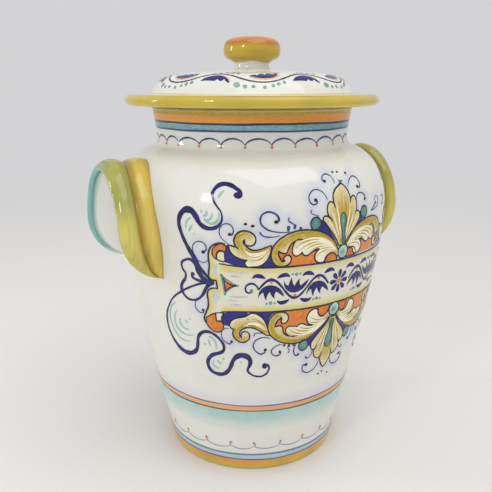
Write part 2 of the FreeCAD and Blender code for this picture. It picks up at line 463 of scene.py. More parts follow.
def shifted_by_height(colour, zone, front, up):
    """The outer rib turns darker and mossier over the top of the arch, and the teal stops above the back
    leg's foot.
    """
    if zone == "outer":
        moss = float(np.clip((up - moss_height) / moss_fade, 0, 1))
        return mixed(colour, handle_moss, moss_strength * moss)
    if zone in ("under", "rim"):
        bare = float(np.clip((teal_stop - up) / teal_fade, 0, 1))
        return mixed(colour, handle_white_painted_light, bare * (1 - front))
    return colour


print("moss on the crown", [round(value, 2) for value in shifted_by_height(handle_green, "outer", 1, handle_crown)])

# %% [markdown]
# The slices are joined into one skin, and both ends are closed. Every point keeps its colour and
# its place along the brush, so that the streaks of the glaze can follow the rib round the arch.


# %% The two handles
front_middle = -6
front_fade = 14


def make_handle(name, side):
    """A handle on the +X side, or with side -1 on the -X side."""
    points, faces, colours, brush = [], [], [], []
    length, last = 0.0, None
    for across, height, out, share in handle_stations():
        section = handle_section(across, height, share)
        if last:
            length += math.hypot(across - last[0], height - last[1])
        last = (across, height)
        for (reach, thick), zone, place in section:
            lift = thick - rib_thickness + (rib_thickness - end_thickness) * (1 - max(share, 0))
            side_step, up = across + out.x * lift, height + out.y * lift
            points.append((side * reach * MM, side * side_step * MM, up * MM))
            front = float(np.clip(0.5 - (side * side_step - front_middle) / front_fade, 0, 1))
            colours.append(shifted_by_height(zone_colour(zone, place, front), zone, front, up))
            brush.append((length * MM, (reach + thick) * MM, 0))
    count = len(section)
    rows = len(points) // count
    for row in range(rows - 1):
        for i in range(count):
            j = (i + 1) % count
            faces.append([row * count + i, row * count + j, (row + 1) * count + j, (row + 1) * count + i])
    faces.append(list(range(count))[::-1])
    faces.append([(rows - 1) * count + i for i in range(count)])
    made = add_mesh(name, points, faces)
    stored = made.data.attributes.new("glaze", "FLOAT_COLOR", "POINT")
    stored.data.foreach_set("color", [v for colour in colours for v in (*colour, 1.0)])
    lines = made.data.attributes.new("brush", "FLOAT_VECTOR", "POINT")
    lines.data.foreach_set("vector", [v for place in brush for v in place])
    return made


right_handle = piece(make_handle("right_handle_skin", 1), "jar", "handle_glaze", "right_handle")
left_handle = piece(make_handle("left_handle_skin", -1), "jar", "handle_glaze", "left_handle")

# %% [markdown]
# Blender builds a finish from nodes. These short functions add nodes, link them and do the few
# sums that the glazes need, so that each finish below reads like a recipe.


# %% Shader helpers
NOISE_RANGE = (0.3, 0.7)


def add_node(material, kind, inputs=None, **settings):
    """A shader node with its settings and unlinked values."""
    node = material.node_tree.nodes.new(kind)
    for key, value in settings.items():
        setattr(node, key, value)
    for key, value in (inputs or {}).items():
        node.inputs[key].default_value = value
    return node


def link(material, source, target):
    material.node_tree.links.new(source, target)


def noise(material, vector, scale, detail=2.0):
    """A noise pattern between 0 and 1."""
    node = add_node(material, "ShaderNodeTexNoise", {"Scale": scale, "Detail": detail})
    link(material, vector, node.inputs["Vector"])
    return node.outputs["Fac"]


def remap(material, value, low, high, new_low, new_high):
    """A value moved from one range to another, and held inside it."""
    node = add_node(material, "ShaderNodeMapRange",
                    {"From Min": low, "From Max": high, "To Min": new_low, "To Max": new_high})
    link(material, value, node.inputs["Value"])
    return node.outputs["Result"]


def combine(material, operation, first, second):
    """Arithmetic on two values, either of which may be a plain number."""
    node = add_node(material, "ShaderNodeMath", operation=operation)
    for socket, value in zip(node.inputs, (first, second)):
        if isinstance(value, (int, float)):
            socket.default_value = value
        else:
            link(material, value, socket)
    return node.outputs["Value"]


def blend_colours(material, factor, first, second):
    """A mix of two colours, each a fixed colour or a link."""
    node = add_node(material, "ShaderNodeMix", data_type="RGBA")
    link(material, factor, node.inputs["Factor"])
    for name, value in (("A", first), ("B", second)):
        socket = [s for s in node.inputs if s.name == name and s.type == "RGBA"][0]
        if isinstance(value, tuple):
            socket.default_value = (*value, 1.0)
        else:
            link(material, value, socket)
    return [s for s in node.outputs if s.type == "RGBA"][0]


def stored_value(material, name, output="Fac"):
    """What a mesh keeps for each of its points under a name."""
    return add_node(material, "ShaderNodeAttribute", attribute_name=name).outputs[output]


print("most of a noise lies between", *NOISE_RANGE)

# %% [markdown]
# All the finishes here are one thing: colour held in a clear, glossy glaze. So one function
# makes the glaze, with a roughness that drifts a little and a faint swell where it ran, and the
# others only say what colour reaches it. The swell is read from the place in the jar's own
# frame, so paint and bare glaze share the same shine across their edges.


# %% The clear glaze
GLAZE_IOR = 1.5
GLAZE_ROUGHNESS = (0.04, 0.11)
SWELL_SIZE = 1 / 0.016
SWELL_STRENGTH = 0.35
SWELL_DEPTH = 0.0006
GRAIN_SIZE = 1 / 0.0012
GRAIN_SHARE = 0.05


def clear_glaze(name):
    """A glossy material with no colour yet: the material, its shader and the place in the jar's frame."""
    material = bpy.data.materials.new(name)
    material.use_nodes = True
    shader = material.node_tree.nodes["Principled BSDF"]
    shader.inputs["IOR"].default_value = GLAZE_IOR
    where = add_node(material, "ShaderNodeTexCoord").outputs["Object"]
    swell = noise(material, where, SWELL_SIZE)
    grain = noise(material, where, GRAIN_SIZE)
    link(material, remap(material, swell, *NOISE_RANGE, *GLAZE_ROUGHNESS), shader.inputs["Roughness"])
    bump = add_node(material, "ShaderNodeBump", {"Strength": SWELL_STRENGTH, "Distance": SWELL_DEPTH})
    height = combine(material, "ADD", swell, combine(material, "MULTIPLY", grain, GRAIN_SHARE))
    link(material, height, bump.inputs["Height"])
    link(material, bump.outputs["Normal"], shader.inputs["Normal"])
    return material, shader, where


print("the glaze's roughness drifts between", *GLAZE_ROUGHNESS)

# %% [markdown]
# A pigment is one colour where it is thin and a deeper one where the brush left more of it. The
# mesh says how much there is, from 0 to 1, and a fine noise breaks it up as wet colour breaks on
# raw glaze. Bands made on the turning wheel are drawn out sideways, so their noise is flattened.


# %% Pigments
def pigment(name, thin, thick, streaks=False, depth=0.5, size=0.003):
    """Colour in the glaze, from its thin colour to its thick one."""
    material, shader, where = clear_glaze(name)
    if streaks:
        drawn = add_node(material, "ShaderNodeMapping", {"Scale": (1, 1, 9)})
        link(material, where, drawn.inputs["Vector"])
        where = drawn.outputs["Vector"]
    broken = remap(material, noise(material, where, 1 / size, 3.0), 0.25, 0.75, -depth, depth)
    amount = combine(material, "ADD", stored_value(material, "load"), broken)
    clamped = add_node(material, "ShaderNodeClamp")
    link(material, amount, clamped.inputs["Value"])
    link(material, blend_colours(material, clamped.outputs["Result"], thin, thick),
         shader.inputs["Base Color"])
    return material


cobalt = pigment("cobalt", tint(48, 44, 160), tint(18, 14, 82), depth=0.35)
ribbon_blue = pigment("ribbon_blue", tint(48, 46, 142), tint(20, 18, 64), depth=0.35)
cobalt_wash = pigment("cobalt_wash", tint(80, 82, 146), tint(32, 32, 84), depth=0.35)
line_blue = pigment("line_blue", tint(44, 42, 84), tint(18, 16, 38), depth=0.4)
orange = pigment("orange", tint(234, 152, 64), tint(208, 102, 22), depth=0.4)
ochre = pigment("ochre", tint(210, 182, 58), tint(168, 140, 18), depth=0.3)
leaf_glaze = pigment("leaf_glaze", tint(250, 247, 222), tint(192, 164, 26), depth=0.16)
leaf_light = pigment("leaf_light", tint(253, 250, 236), tint(246, 238, 200), depth=0.3)
banner_glaze = pigment("banner_glaze", tint(228, 226, 208), tint(222, 208, 122), depth=0.12)
teal = pigment("teal", tint(142, 190, 180), tint(70, 120, 114), depth=0.3)
turquoise = pigment("turquoise", tint(178, 208, 198), tint(128, 178, 166), depth=0.4)
peach_line = pigment("peach_line", tint(238, 196, 160), tint(222, 150, 96), depth=0.3)
olive_band = pigment("olive_band", tint(206, 182, 66), tint(168, 138, 30), True, 0.45)
orange_band = pigment("orange_band", tint(236, 168, 78), tint(212, 128, 30), True, 0.35)
teal_band = pigment("teal_band", tint(148, 192, 196), tint(84, 136, 148), True, 0.6)
blue_line = pigment("blue_line", tint(66, 88, 134), tint(28, 36, 72), True, 0.3)
steel_line = pigment("steel_line", tint(126, 152, 184), tint(88, 112, 150), True, 0.3)
pale_blue_band = pigment("pale_blue_band", tint(196, 214, 222), tint(164, 190, 208), True, 0.4)
peach_band = pigment("peach_band", tint(236, 186, 140), tint(222, 150, 92), True, 0.35)
green_line = pigment("green_line", tint(96, 120, 100), tint(70, 80, 62), True, 0.3)
purple_line = pigment("purple_line", tint(120, 110, 156), tint(86, 70, 112), True, 0.3)
print("pigments", len(bpy.data.materials))

# %% [markdown]
# The lid, the knob and the foot of the jar carry broad zones of colour with soft edges. Separate
# coats would show a step there, so the colour of each ring is stored on the mesh instead, and the
# glaze reads it, as on the handles. The edges waver, because the brush was steadied by hand.

# %% Colours of the broad zones
mustard = tint(202, 178, 64)
mustard_deep = tint(184, 152, 46)
flange_rim = tint(214, 196, 92)
knob_ochre = tint(190, 158, 48)
knob_top = tint(204, 132, 44)
knob_brown = tint(176, 112, 34)
lip_olive = tint(180, 152, 50)
foot_orange = tint(228, 160, 66)
foot_yellow = tint(208, 180, 74)
bare_clay = tint(206, 184, 152)


def between(value, places, colours):
    """A colour found between given places."""
    return [float(np.interp(value, places, [colour[i] for colour in colours])) for i in range(3)]


def store_glaze(made, outline, colour_at, turns=TURNS):
    """Keep a colour for each point of a turned piece."""
    colours = []
    for radius, height in outline:
        count = 1 if radius < 1e-6 else turns
        colours += [colour_at(radius, height, 2 * math.pi * i / turns) for i in range(count)]
    stored = made.data.attributes.new("glaze", "FLOAT_COLOR", "POINT")
    stored.data.foreach_set("color", [v for colour in colours for v in (*colour, 1.0)])


print("between mustard and white", [round(v, 2) for v in between(0.5, [0, 1], [mustard, WHITE_GLAZE])])

# %% [markdown]
# Each turned piece has a rule that gives a colour for a radius and a height. The angle only makes
# the edges waver. Under the foot the glaze is wiped off, so that the jar doesn't stick in the kiln.


# %% Glaze zones on the turned pieces
wiped_height = 0.4
foot_zone_height = 20


def jar_colour(radius, height, angle):
    """White, with orange running into yellow at the foot, and bare clay where the jar stands."""
    if height < wiped_height and radius > ring_inside - 2:
        return bare_clay
    if radius < ring_inside + 2 or radius < foot_radius - 2 and height < 30:
        return WHITE_GLAZE
    if height > lip_height - lip_round and radius > lip_radius - wall / 2:
        return lip_olive
    if height > foot_zone_height:
        return WHITE_GLAZE
    shift = 0.35 * math.sin(7 * angle) + 0.25 * math.sin(17 * angle + 1)
    return between(height + shift, [3.4, 6.2, 12.4, 13.8],
                   [foot_yellow, foot_orange, foot_orange, WHITE_GLAZE])


def lid_colour(radius, height, angle):
    """White dome, mustard flange, and a paler lower edge."""
    border = dome_foot[0] + 0.5 + 0.15 * math.sin(5 * angle) + 0.1 * math.sin(11 * angle + 2)
    if height < lip_height + 0.1 and radius < lid_radius - 6 or radius < border - 0.4:
        return WHITE_GLAZE
    if height < lip_height + edge_round:
        return between(height, [lip_height + 0.6, lip_height + 2.0], [flange_rim, mustard])
    return between(radius + 0.6 * math.sin(3 * angle), [border - 0.4, border + 0.2, 84, 87.5, 89.5],
                   [WHITE_GLAZE, mustard, mustard, mustard_deep, mustard])


def knob_colour(radius, height, angle):
    """White stem, ochre bun and a brown-orange top."""
    sway = 0.4 * math.sin(2 * angle) + 0.25 * math.sin(5 * angle + 1)
    return between(height + sway, [286.6, 288.2, 290.5, 297.8, 300.2, 302.2, 304.8],
                   [WHITE_GLAZE, mustard_deep, knob_ochre, knob_ochre, knob_brown, knob_top, knob_top])


store_glaze(jar, jar_outline, jar_colour)
store_glaze(lid, lid_outline, lid_colour)
store_glaze(knob, knob_outline, knob_colour, KNOB_TURNS)

# %% [markdown]
# One more finish reads the stored colours. Wet glaze never dries even, so a slow noise makes the
# colour a shade lighter or darker, and fine streaks follow the brush: along the handle on a
# handle, and round the axis on a turned piece. Both show in the strong colours and hardly in the
# white.


# %% Zoned glaze
CLOUD_SIZE = 1 / 0.02
BRUSH_STREAK_SIZE = 1 / 0.022
RING_STREAK_SIZE = 1 / 0.03
STRONG_COLOUR = (0.12, 0.5)
HUE_DRIFT = (0.512, 0.488)


def zoned_glaze(name, along_brush, cloud, streak):
    """Glaze in the colours that the mesh holds, broken by clouds and brush streaks."""
    material, shader, where = clear_glaze(name)
    clouds = remap(material, noise(material, where, CLOUD_SIZE, 3.0), *NOISE_RANGE, -cloud, cloud)
    if along_brush:
        brush = stored_value(material, "brush", "Vector")
        drawn = add_node(material, "ShaderNodeMapping", {"Scale": (1, 14, 1)})
        link(material, brush, drawn.inputs["Vector"])
        lines = noise(material, drawn.outputs["Vector"], BRUSH_STREAK_SIZE, 4.0)
    else:
        drawn = add_node(material, "ShaderNodeMapping", {"Scale": (1, 1, 12)})
        link(material, where, drawn.inputs["Vector"])
        lines = noise(material, drawn.outputs["Vector"], RING_STREAK_SIZE, 3.0)
    streaks = remap(material, lines, *NOISE_RANGE, -streak, streak)
    stored = stored_value(material, "glaze", "Color")
    parts = add_node(material, "ShaderNodeSeparateColor")
    parts.mode = "HSV"
    link(material, stored, parts.inputs["Color"])
    body_of_colour = remap(material, parts.outputs[1], *STRONG_COLOUR, 0.15, 1.0)
    change = combine(material, "MULTIPLY", combine(material, "ADD", clouds, streaks), body_of_colour)
    shaded = add_node(material, "ShaderNodeHueSaturation")
    link(material, stored, shaded.inputs["Color"])
    link(material, combine(material, "ADD", change, 1.0), shaded.inputs["Value"])
    link(material, remap(material, lines, *NOISE_RANGE, *HUE_DRIFT), shaded.inputs["Hue"])
    link(material, shaded.outputs["Color"], shader.inputs["Base Color"])
    return material, shader, shaded.outputs["Color"], where


handle_glaze = zoned_glaze("handle_glaze", True, 0.08, 0.16)[0]
lid_glaze = zoned_glaze("lid_glaze", False, 0.07, 0.10)[0]
knob_glaze = zoned_glaze("knob_glaze", False, 0.08, 0.14)[0]
zoned = [(right_handle, handle_glaze), (left_handle, handle_glaze), (lid, lid_glaze), (knob, knob_glaze)]
for made, finish in zoned:
    made.data.materials.append(finish)
print("zoned pieces", len(zoned))

# %% [markdown]
# A brush mark is drawn flat first, in millimetres: how far along the pot, and how high. Then
# each of its points is laid on the pot. The pot's face tells where that is, and which way is
# out, so a coat of paint can lie a tenth of a millimetre above the glaze, and a later stroke a
# little above an earlier one, as on the real thing.


# %% Places on the pots
def surface(outline, keys, round_radius, centre=0.0):
    """A function that lays flat points on a turned face. Keys say what the second number means."""
    out = normals(outline)
    table = np.column_stack([outline, out])

    def place(along, key, lift):
        radius, height, out_radius, out_height = (np.interp(key, keys, table[:, i]) for i in range(4))
        angle = centre + along / round_radius
        return around(radius + out_radius * lift, angle, height + out_height * lift)
    return place


ORNAMENT_TURN = math.radians(5.3)
CROP_TURN = math.radians(-31.5)
on_jar = surface(jar_face, jar_face[:, 1], belly_radius, ORNAMENT_TURN)
on_jar_seen = surface(jar_face, jar_face[:, 1], belly_radius, CROP_TURN)
dome_reach = np.r_[0, np.cumsum(np.hypot(*np.diff(dome, axis=0).T))]
DOME_ROUND = 66.0
on_dome = surface(dome, dome_reach, DOME_ROUND, CROP_TURN)
print("the dome's face is", round(dome_reach[-1], 1), "mm from its foot to its middle")

# %% [markdown]
# A brush moves in one flowing line through a few chosen points. The direction at each point is
# that of the circle through it and its neighbours, which keeps curls round. A third number marks
# a tip, where the line turns sharply.

# %% Flowing lines
TIP = 1


def flow(points, closed=False, step=1.5):
    """A smooth line through chosen points, with its sharp tips kept."""
    spots = [Vector(point[:2]) for point in points]
    sharp = [len(point) == 3 for point in points]
    count = len(spots)
    directions = []
    for i, spot in enumerate(spots):
        at_end = not closed and i in (0, count - 1)
        before, after = spot - spots[i - 1], spots[(i + 1) % count] - spot
        if at_end or sharp[i] or before.length < 1e-6 or after.length < 1e-6:
            directions.append(None)
        else:
            directions.append((before / before.length_squared + after / after.length_squared).normalized())
    line = []
    for i in range(count if closed else count - 1):
        j = (i + 1) % count
        chord = spots[j] - spots[i]
        straight = chord.normalized()
        leave, arrive = directions[i], directions[j]
        if leave is None and arrive is None:
            leave = arrive = straight
        elif leave is None:
            leave = 2 * straight.dot(arrive) * straight - arrive
        elif arrive is None:
            arrive = 2 * straight.dot(leave) * straight - leave
        pieces = max(1, math.ceil(chord.length / step))
        for k in range(pieces):
            t = k / pieces
            line.append((2 * t ** 3 - 3 * t ** 2 + 1) * spots[i]
                        + (t ** 3 - 2 * t ** 2 + t) * chord.length * leave
                        + (3 * t ** 2 - 2 * t ** 3) * spots[j] + (t ** 3 - t ** 2) * chord.length * arrive)
    if not closed:
        line.append(spots[-1])
    return line


print("three chosen points give a line of", len(flow([(0, 0), (5, 2), (10, 0)])))

# %% [markdown]
# Two measures help to fill a shape: how far a point is from a line, and whether it is inside an
# outline. It is inside when a ray from it crosses the outline an odd number of times.


# %% Inside and near
def inside(polygon, points):
    """Which points lie inside a polygon."""
    points = np.atleast_2d(points)
    crossings = np.zeros(len(points), int)
    for a, b in zip(polygon, np.roll(polygon, -1, axis=0)):
        if a[1] == b[1]:
            continue
        spans = (a[1] > points[:, 1]) != (b[1] > points[:, 1])
        at = a[0] + (points[:, 1] - a[1]) / (b[1] - a[1]) * (b[0] - a[0])
        crossings += spans & (points[:, 0] < at)
    return crossings % 2 == 1


def distance_to(line, points):
    """How far each point is from the nearest point of a line."""
    line, points = np.atleast_2d(line), np.atleast_2d(points)
    return np.sqrt(((points[:, None] - line[None]) ** 2).sum(2)).min(1)


def turns_right(flat, face):
    """True for a face that is listed clockwise."""
    (ax, az), (bx, bz), (cx, cz) = (flat[i] for i in list(face)[:3])
    return (bx - ax) * (cz - az) - (cx - ax) * (bz - az) < 0


print("the middle of a square is inside it:", bool(inside([(0, 0), (2, 0), (2, 2), (0, 2)], (1, 1))[0]))

# %% [markdown]
# One coat is all the marks of one pigment on one surface, kept as a single thin mesh. A stroke
# is a ribbon of three rows: the colour is pushed to its two edges, as a loaded brush does. A dot
# is a small fan. Blender's own curves could draw the strokes, but a curve doesn't lie on a pot.


# %% Strokes and dots
class BrushMarks:
    """The strokes and dots of one pigment on one surface."""

    def __init__(self, place, lift, seed=1):
        self.place = place
        self.lift = lift
        self.random = random.Random(seed)
        self.flat = []
        self.points = []
        self.faces = []
        self.load = []

    def lay(self, flat, faces, load):
        first = len(self.points)
        self.flat += [(x, z) for x, z in flat]
        self.points += [self.place(x, z, self.lift) for x, z in flat]
        self.faces += [[first + i for i in face] for face in faces]
        self.load += [float(value) for value in load]

    def stroke(self, points, widths, load=0.75, middle=0.3, step=1.2):
        """A brush line. Widths are its width at even shares of its length."""
        line = flow(points, step=step)
        share = np.linspace(0, 1, len(line))
        width = np.interp(share, np.linspace(0, 1, len(widths)), widths)
        phase = self.random.uniform(0, 6)
        flat, faces, loads = [], [], []
        for i, spot in enumerate(line):
            along = (line[min(i + 1, len(line) - 1)] - line[max(i - 1, 0)]).normalized()
            side = Vector((-along.y, along.x)) * width[i] / 2 * (1 + 0.08 * math.sin(phase + i * 0.9))
            flat += [spot + side, spot, spot - side]
            amount = load + 0.15 * math.sin(phase + i * 0.31)
            loads += [amount, amount - middle, amount]
        for i in range(len(line) - 1):
            a = 3 * i
            faces += [[a, a + 1, a + 4, a + 3], [a + 1, a + 2, a + 5, a + 4]]
        self.lay(flat, faces, loads)

    def dot(self, centre, radius, tall=1.0, load=0.7):
        """A round touch of the brush, a little uneven."""
        count = max(8, int(radius * 10))
        phase = self.random.uniform(0, 6)
        rim = []
        for i in range(count):
            angle = 2 * math.pi * i / count
            reach = radius * (1 + 0.07 * math.sin(2 * angle + phase))
            rim.append((centre[0] + reach * math.cos(angle), centre[1] + reach * tall * math.sin(angle)))
        faces = [[0, 1 + i, 1 + (i + 1) % count] for i in range(count)]
        self.lay([centre] + rim, faces, [load - 0.25] + [load] * count)

    def finish(self, name, material, body, slot):
        """Make the coat a piece of its own."""
        made = add_mesh(name, self.points, self.faces)
        stored = made.data.attributes.new("load", "FLOAT", "POINT")
        stored.data.foreach_set("value", self.load)
        made.data.materials.append(material)
        return piece(made, body, slot)


print("a stroke has three rows of points")

# %% [markdown]
# A fill is an outline filled with small triangles, so that it can bend with the pot and carry a
# gradient. A band runs all the way round, and its edges waver a little, as they do when a brush
# is held against a pot on a turning wheel.


# %% Fills and bands
class Coat(BrushMarks):
    """All the marks of one pigment on one surface."""

    def fill(self, outline, shade=0.6, grain=2.0, step=1.2):
        """A filled shape. Shade is how much colour it has, or a function of its points."""
        edge = np.array([tuple(p) for p in flow(outline, closed=True, step=step)])
        low, high = edge.min(0), edge.max(0)
        xs, zs = np.meshgrid(np.arange(low[0], high[0], grain), np.arange(low[1], high[1], grain))
        grid = np.column_stack([xs.ravel(), zs.ravel()])
        grid = grid[inside(edge, grid)]
        if len(grid):
            grid = grid[distance_to(edge, grid) > grain * 0.45]
        spots = [Vector(p) for p in np.vstack([edge, grid])]
        made = delaunay_2d_cdt(spots, [], [list(range(len(edge)))], 1, 1e-5)
        flat = [tuple(p) for p in made[0]]
        loads = shade(np.array(flat)) if callable(shade) else [shade] * len(flat)
        faces = [list(face)[::-1] if turns_right(flat, face) else list(face) for face in made[2]]
        self.lay(flat, faces, loads)

    def band(self, low, high, load=0.5, rows=3, waver=0.12, round_length=2 * math.pi * belly_radius):
        """A band all the way round, between two heights."""
        phase = [self.random.uniform(0, 6) for _ in range(4)]
        flat, faces, loads = [], [], []
        for i in range(TURNS):
            turn = 2 * math.pi * i / TURNS
            shift = [waver * (math.sin(5 * turn + phase[k]) + 0.6 * math.sin(13 * turn + phase[k + 1]))
                     for k in (0, 2)]
            for row in range(rows + 1):
                share = row / rows
                z = (low + shift[0]) * (1 - share) + (high + shift[1]) * share
                flat.append((round_length * i / TURNS, z))
                loads.append(load + 0.12 * math.sin(3 * turn + phase[1] + row))
        for i in range(TURNS):
            for row in range(rows):
                a, b = i * (rows + 1) + row, (i + 1) % TURNS * (rows + 1) + row
                faces.append([a, b, b + 1, a + 1])
        self.lay(flat, faces, loads)


print("a coat can hold strokes, dots, fills and bands")

# %% [markdown]
# The bands were drawn while the jar turned on a banding wheel, with the brush held still. From
# the lip down they are olive, orange, a dark line, sea green and a blue line, and at the foot
# two steel-blue lines with pale blue between them, then orange that runs into yellow.

# %% Bands at the neck and the foot
BAND_LIFT = 0.1
LINE_LIFT = 0.2
jar_bands = [
    ("neck_olive_band", olive_band, 253.7, 256.6, 0.55, BAND_LIFT),
    ("neck_orange_band", orange_band, 248.8, 253.9, 0.5, BAND_LIFT + 0.03),
    ("neck_dark_line", blue_line, 247.8, 249.1, 0.85, LINE_LIFT),
    ("neck_teal_band", teal_band, 244.3, 247.9, 0.5, BAND_LIFT),
    ("neck_blue_line", blue_line, 243.4, 244.6, 0.35, LINE_LIFT),
    ("low_purple_line", purple_line, 58.7, 59.5, 0.5, LINE_LIFT),
    ("low_peach_band", peach_band, 55.0, 58.4, 0.45, BAND_LIFT),
    ("low_green_line", green_line, 54.0, 55.0, 0.5, LINE_LIFT),
    ("foot_upper_line", steel_line, 13.6, 15.0, 0.5, LINE_LIFT),
    ("foot_pale_band", pale_blue_band, 9.8, 13.8, 0.5, BAND_LIFT),
    ("foot_lower_line", steel_line, 9.0, 10.2, 0.9, LINE_LIFT)]
for seed, (name, material, low, high, load, lift) in enumerate(jar_bands):
    coat = Coat(on_jar_seen, lift, seed)
    coat.band(low, high, load)
    coat.finish(name, material, "jar", "body_glaze")

# %% [markdown]
# Under the neck bands hangs a row of small arches, each a single flick of thin blue with a dot
# of orange-brown where two of them meet. The row above the foot is the same thing upside down.
# The painter divided the round by eye, so each arch has its own small error.

# %% Festoons
round_length = 2 * math.pi * belly_radius


def festoon(lines, dots, count, start, cusp, crest, width, dot_height, dot_radius):
    """A row of arches all the way round, from cusp to cusp."""
    hand = random.Random(count)
    cusps = [start + round_length * (i + hand.uniform(-0.06, 0.06)) / count for i in range(count)]
    cusps.append(cusps[0] + round_length)
    for left, right in zip(cusps, cusps[1:]):
        reach = crest + hand.uniform(-0.3, 0.3)
        arch = []
        for share in np.linspace(0, 1, 9):
            rise = math.sin(math.pi * share) ** 0.6
            arch.append((left + (right - left) * share, cusp + (reach - cusp) * rise))
        lines.stroke(arch, [width * 0.7, width, width * 0.8, width * 0.4], 0.6)
        dots.dot((left + 0.1, dot_height), dot_radius * hand.uniform(0.8, 1.15), 0.75, 0.8)


DOT_LIFT = 0.25
NECK_ARCHES = 27
FOOT_ARCHES = 24
foot_start = 54.5
neck_lines = Coat(on_jar_seen, LINE_LIFT, 21)
neck_dots = Coat(on_jar_seen, DOT_LIFT, 22)
festoon(neck_lines, neck_dots, NECK_ARCHES, 63.0, 235.6, 239.4, 1.25, 234.3, 1.3)
neck_lines.finish("neck_festoon", cobalt_wash, "jar", "body_glaze")
neck_dots.finish("neck_festoon_dots", orange, "jar", "body_glaze")
foot_lines = Coat(on_jar_seen, LINE_LIFT, 23)
foot_dots = Coat(on_jar_seen, DOT_LIFT, 24)
festoon(foot_lines, foot_dots, FOOT_ARCHES, foot_start, 22.6, 19.8, 0.6, 25.2, 1.3)
for i in range(FOOT_ARCHES):
    x = foot_start + round_length * i / FOOT_ARCHES
    foot_lines.stroke([(x - 0.4, 25.6), (x + 0.1, 24.2), (x, 22.4)], [0.5, 1.0, 0.5], 0.9)
foot_lines.finish("foot_festoon", steel_line, "jar", "body_glaze")
foot_dots.finish("foot_festoon_dots", orange, "jar", "body_glaze")

# %% [markdown]
# The cartouche is drawn on its left half and mirrored, as the painter pounced one half of a
# pattern and turned the paper over. The upper half of the mirror image sits a little higher and
# nearer, and the ribbon had less room on that side, so the mirror can shift and squeeze.


# %% Mirroring and shading shapes
UP_MIRROR = {"about": -2.3, "rise": 1.6}
LOW_MIRROR = {"about": -0.3}
END_MIRROR = {"about": 0.0}
RIGHT_SIDE = {"squeeze": 0.925}


def mirrored(points, about=0.0, squeeze=1.0, rise=0.0):
    """A row of points turned over left to right."""
    return [(2 * about - point[0] * squeeze, point[1] + rise, *point[2:]) for point in points]


def near(line, reach, high=1.0, low=0.0):
    """A shade that is high on a line and falls to low at a reach from it."""
    smooth_line = np.array([tuple(p) for p in flow(line)])

    def shade(points):
        fall = np.clip(1 - distance_to(smooth_line, points) / reach, 0, 1)
        return low + (high - low) * fall
    return shade


print("a point 10 mm left of the middle goes to", mirrored([(-10, 150)], **RIGHT_SIDE)[0])

# %% [markdown]
# The banner is a strip with a curled end on each side. It is ivory, with yellow along its borders
# and a few grey-blue shadows where it folds. The yellow fades inwards, so how much of it a point
# has is found from its distance to the border, which one flat colour couldn't do.

# %% The banner
BANNER_LOW = 133.6
BANNER_TOP = 164.3
banner_end = [
    (-79.5, 179.3, TIP), (-83, 179.8), (-87.5, 178), (-90, 174.5), (-90.5, 170), (-90.2, 165), (-91, 160),
    (-91, 157), (-89.5, 155.4), (-86.3, 155.2, TIP), (-86, 152.3), (-85.6, 149.3, TIP), (-88, 149.6),
    (-91.5, 148.3), (-93, 145.5), (-92.8, 141), (-93.2, 136), (-95.5, 131), (-97, 127.5), (-95.8, 123.5, TIP)]
banner_low = [(-88, 126.2, TIP), (-88.2, 131.8, TIP), (-84, 133), (-78, 133.8), (-70, 133.7), (-60, 133.5)]
banner_top = [(-60, 164.2), (-66, 164.5), (-75, 165.5), (-80, 167.3, TIP)]
banner_outline = banner_end + banner_low + mirrored(banner_low)[::-1] + mirrored(banner_end)[::-1]
banner_outline += mirrored(banner_top)[::-1] + banner_top
banner = Coat(on_jar, 0.08, 31)
border = np.array([(x, z) for x in np.linspace(-80, 80, 120) for z in (BANNER_LOW, BANNER_TOP)])
end_edge = np.array([tuple(p) for p in flow(banner_end[3:])])
end_edge = np.vstack([end_edge, end_edge * (-1, 1)])


def banner_shade(points):
    """Yellow along the borders and the curled ends, ivory in the middle."""
    along = np.clip(1.8 - distance_to(border, points) / 2.9, 0, 1)
    ends = np.clip(1.5 - distance_to(end_edge, points) / 4.0, 0, 1)
    return np.maximum(along, ends) * 0.95


banner.fill(banner_outline, banner_shade, grain=1.5)
banner.finish("banner", banner_glaze, "jar", "body_glaze")

fold_shadow = pigment("fold_shadow", tint(214, 216, 210), tint(178, 186, 198), depth=0.4)
folds = Coat(on_jar, 0.11, 30)
fold_lines = [
    [(-87.4, 165), (-87.8, 161), (-87.2, 157.6)], [(-85.6, 166), (-86.2, 162), (-85.8, 158)],
    [(-88.4, 147.8), (-88.8, 143), (-89.6, 137.4)], [(-86.6, 148), (-86.8, 142), (-87.6, 137)],
    [(-84.8, 147), (-85.2, 141)], [(-79, 161.6), (-73, 161), (-66, 161.2)], [(-77, 158.6), (-70, 158.2)],
    [(-78, 144.6), (-71, 144.2), (-65, 144.6)], [(-79, 141.6), (-72, 141.4)],
    [(-78, 138.8), (-70, 138.6)]]
for line in fold_lines:
    for points in (line, mirrored(line)):
        folds.stroke(points, [0.6, 1.5, 1.3, 0.5], 0.5, 0.2)
folds.finish("banner_fold_shadows", fold_shadow, "jar", "body_glaze")
print("banner", len(banner_outline), "chosen points")

# %% [markdown]
# Behind the leaves lie flat grounds of cobalt and orange, which make the leaves stand forward.
# They were filled in up to the outlines, so they go on first here, and the leaves cover their
# inner edges.

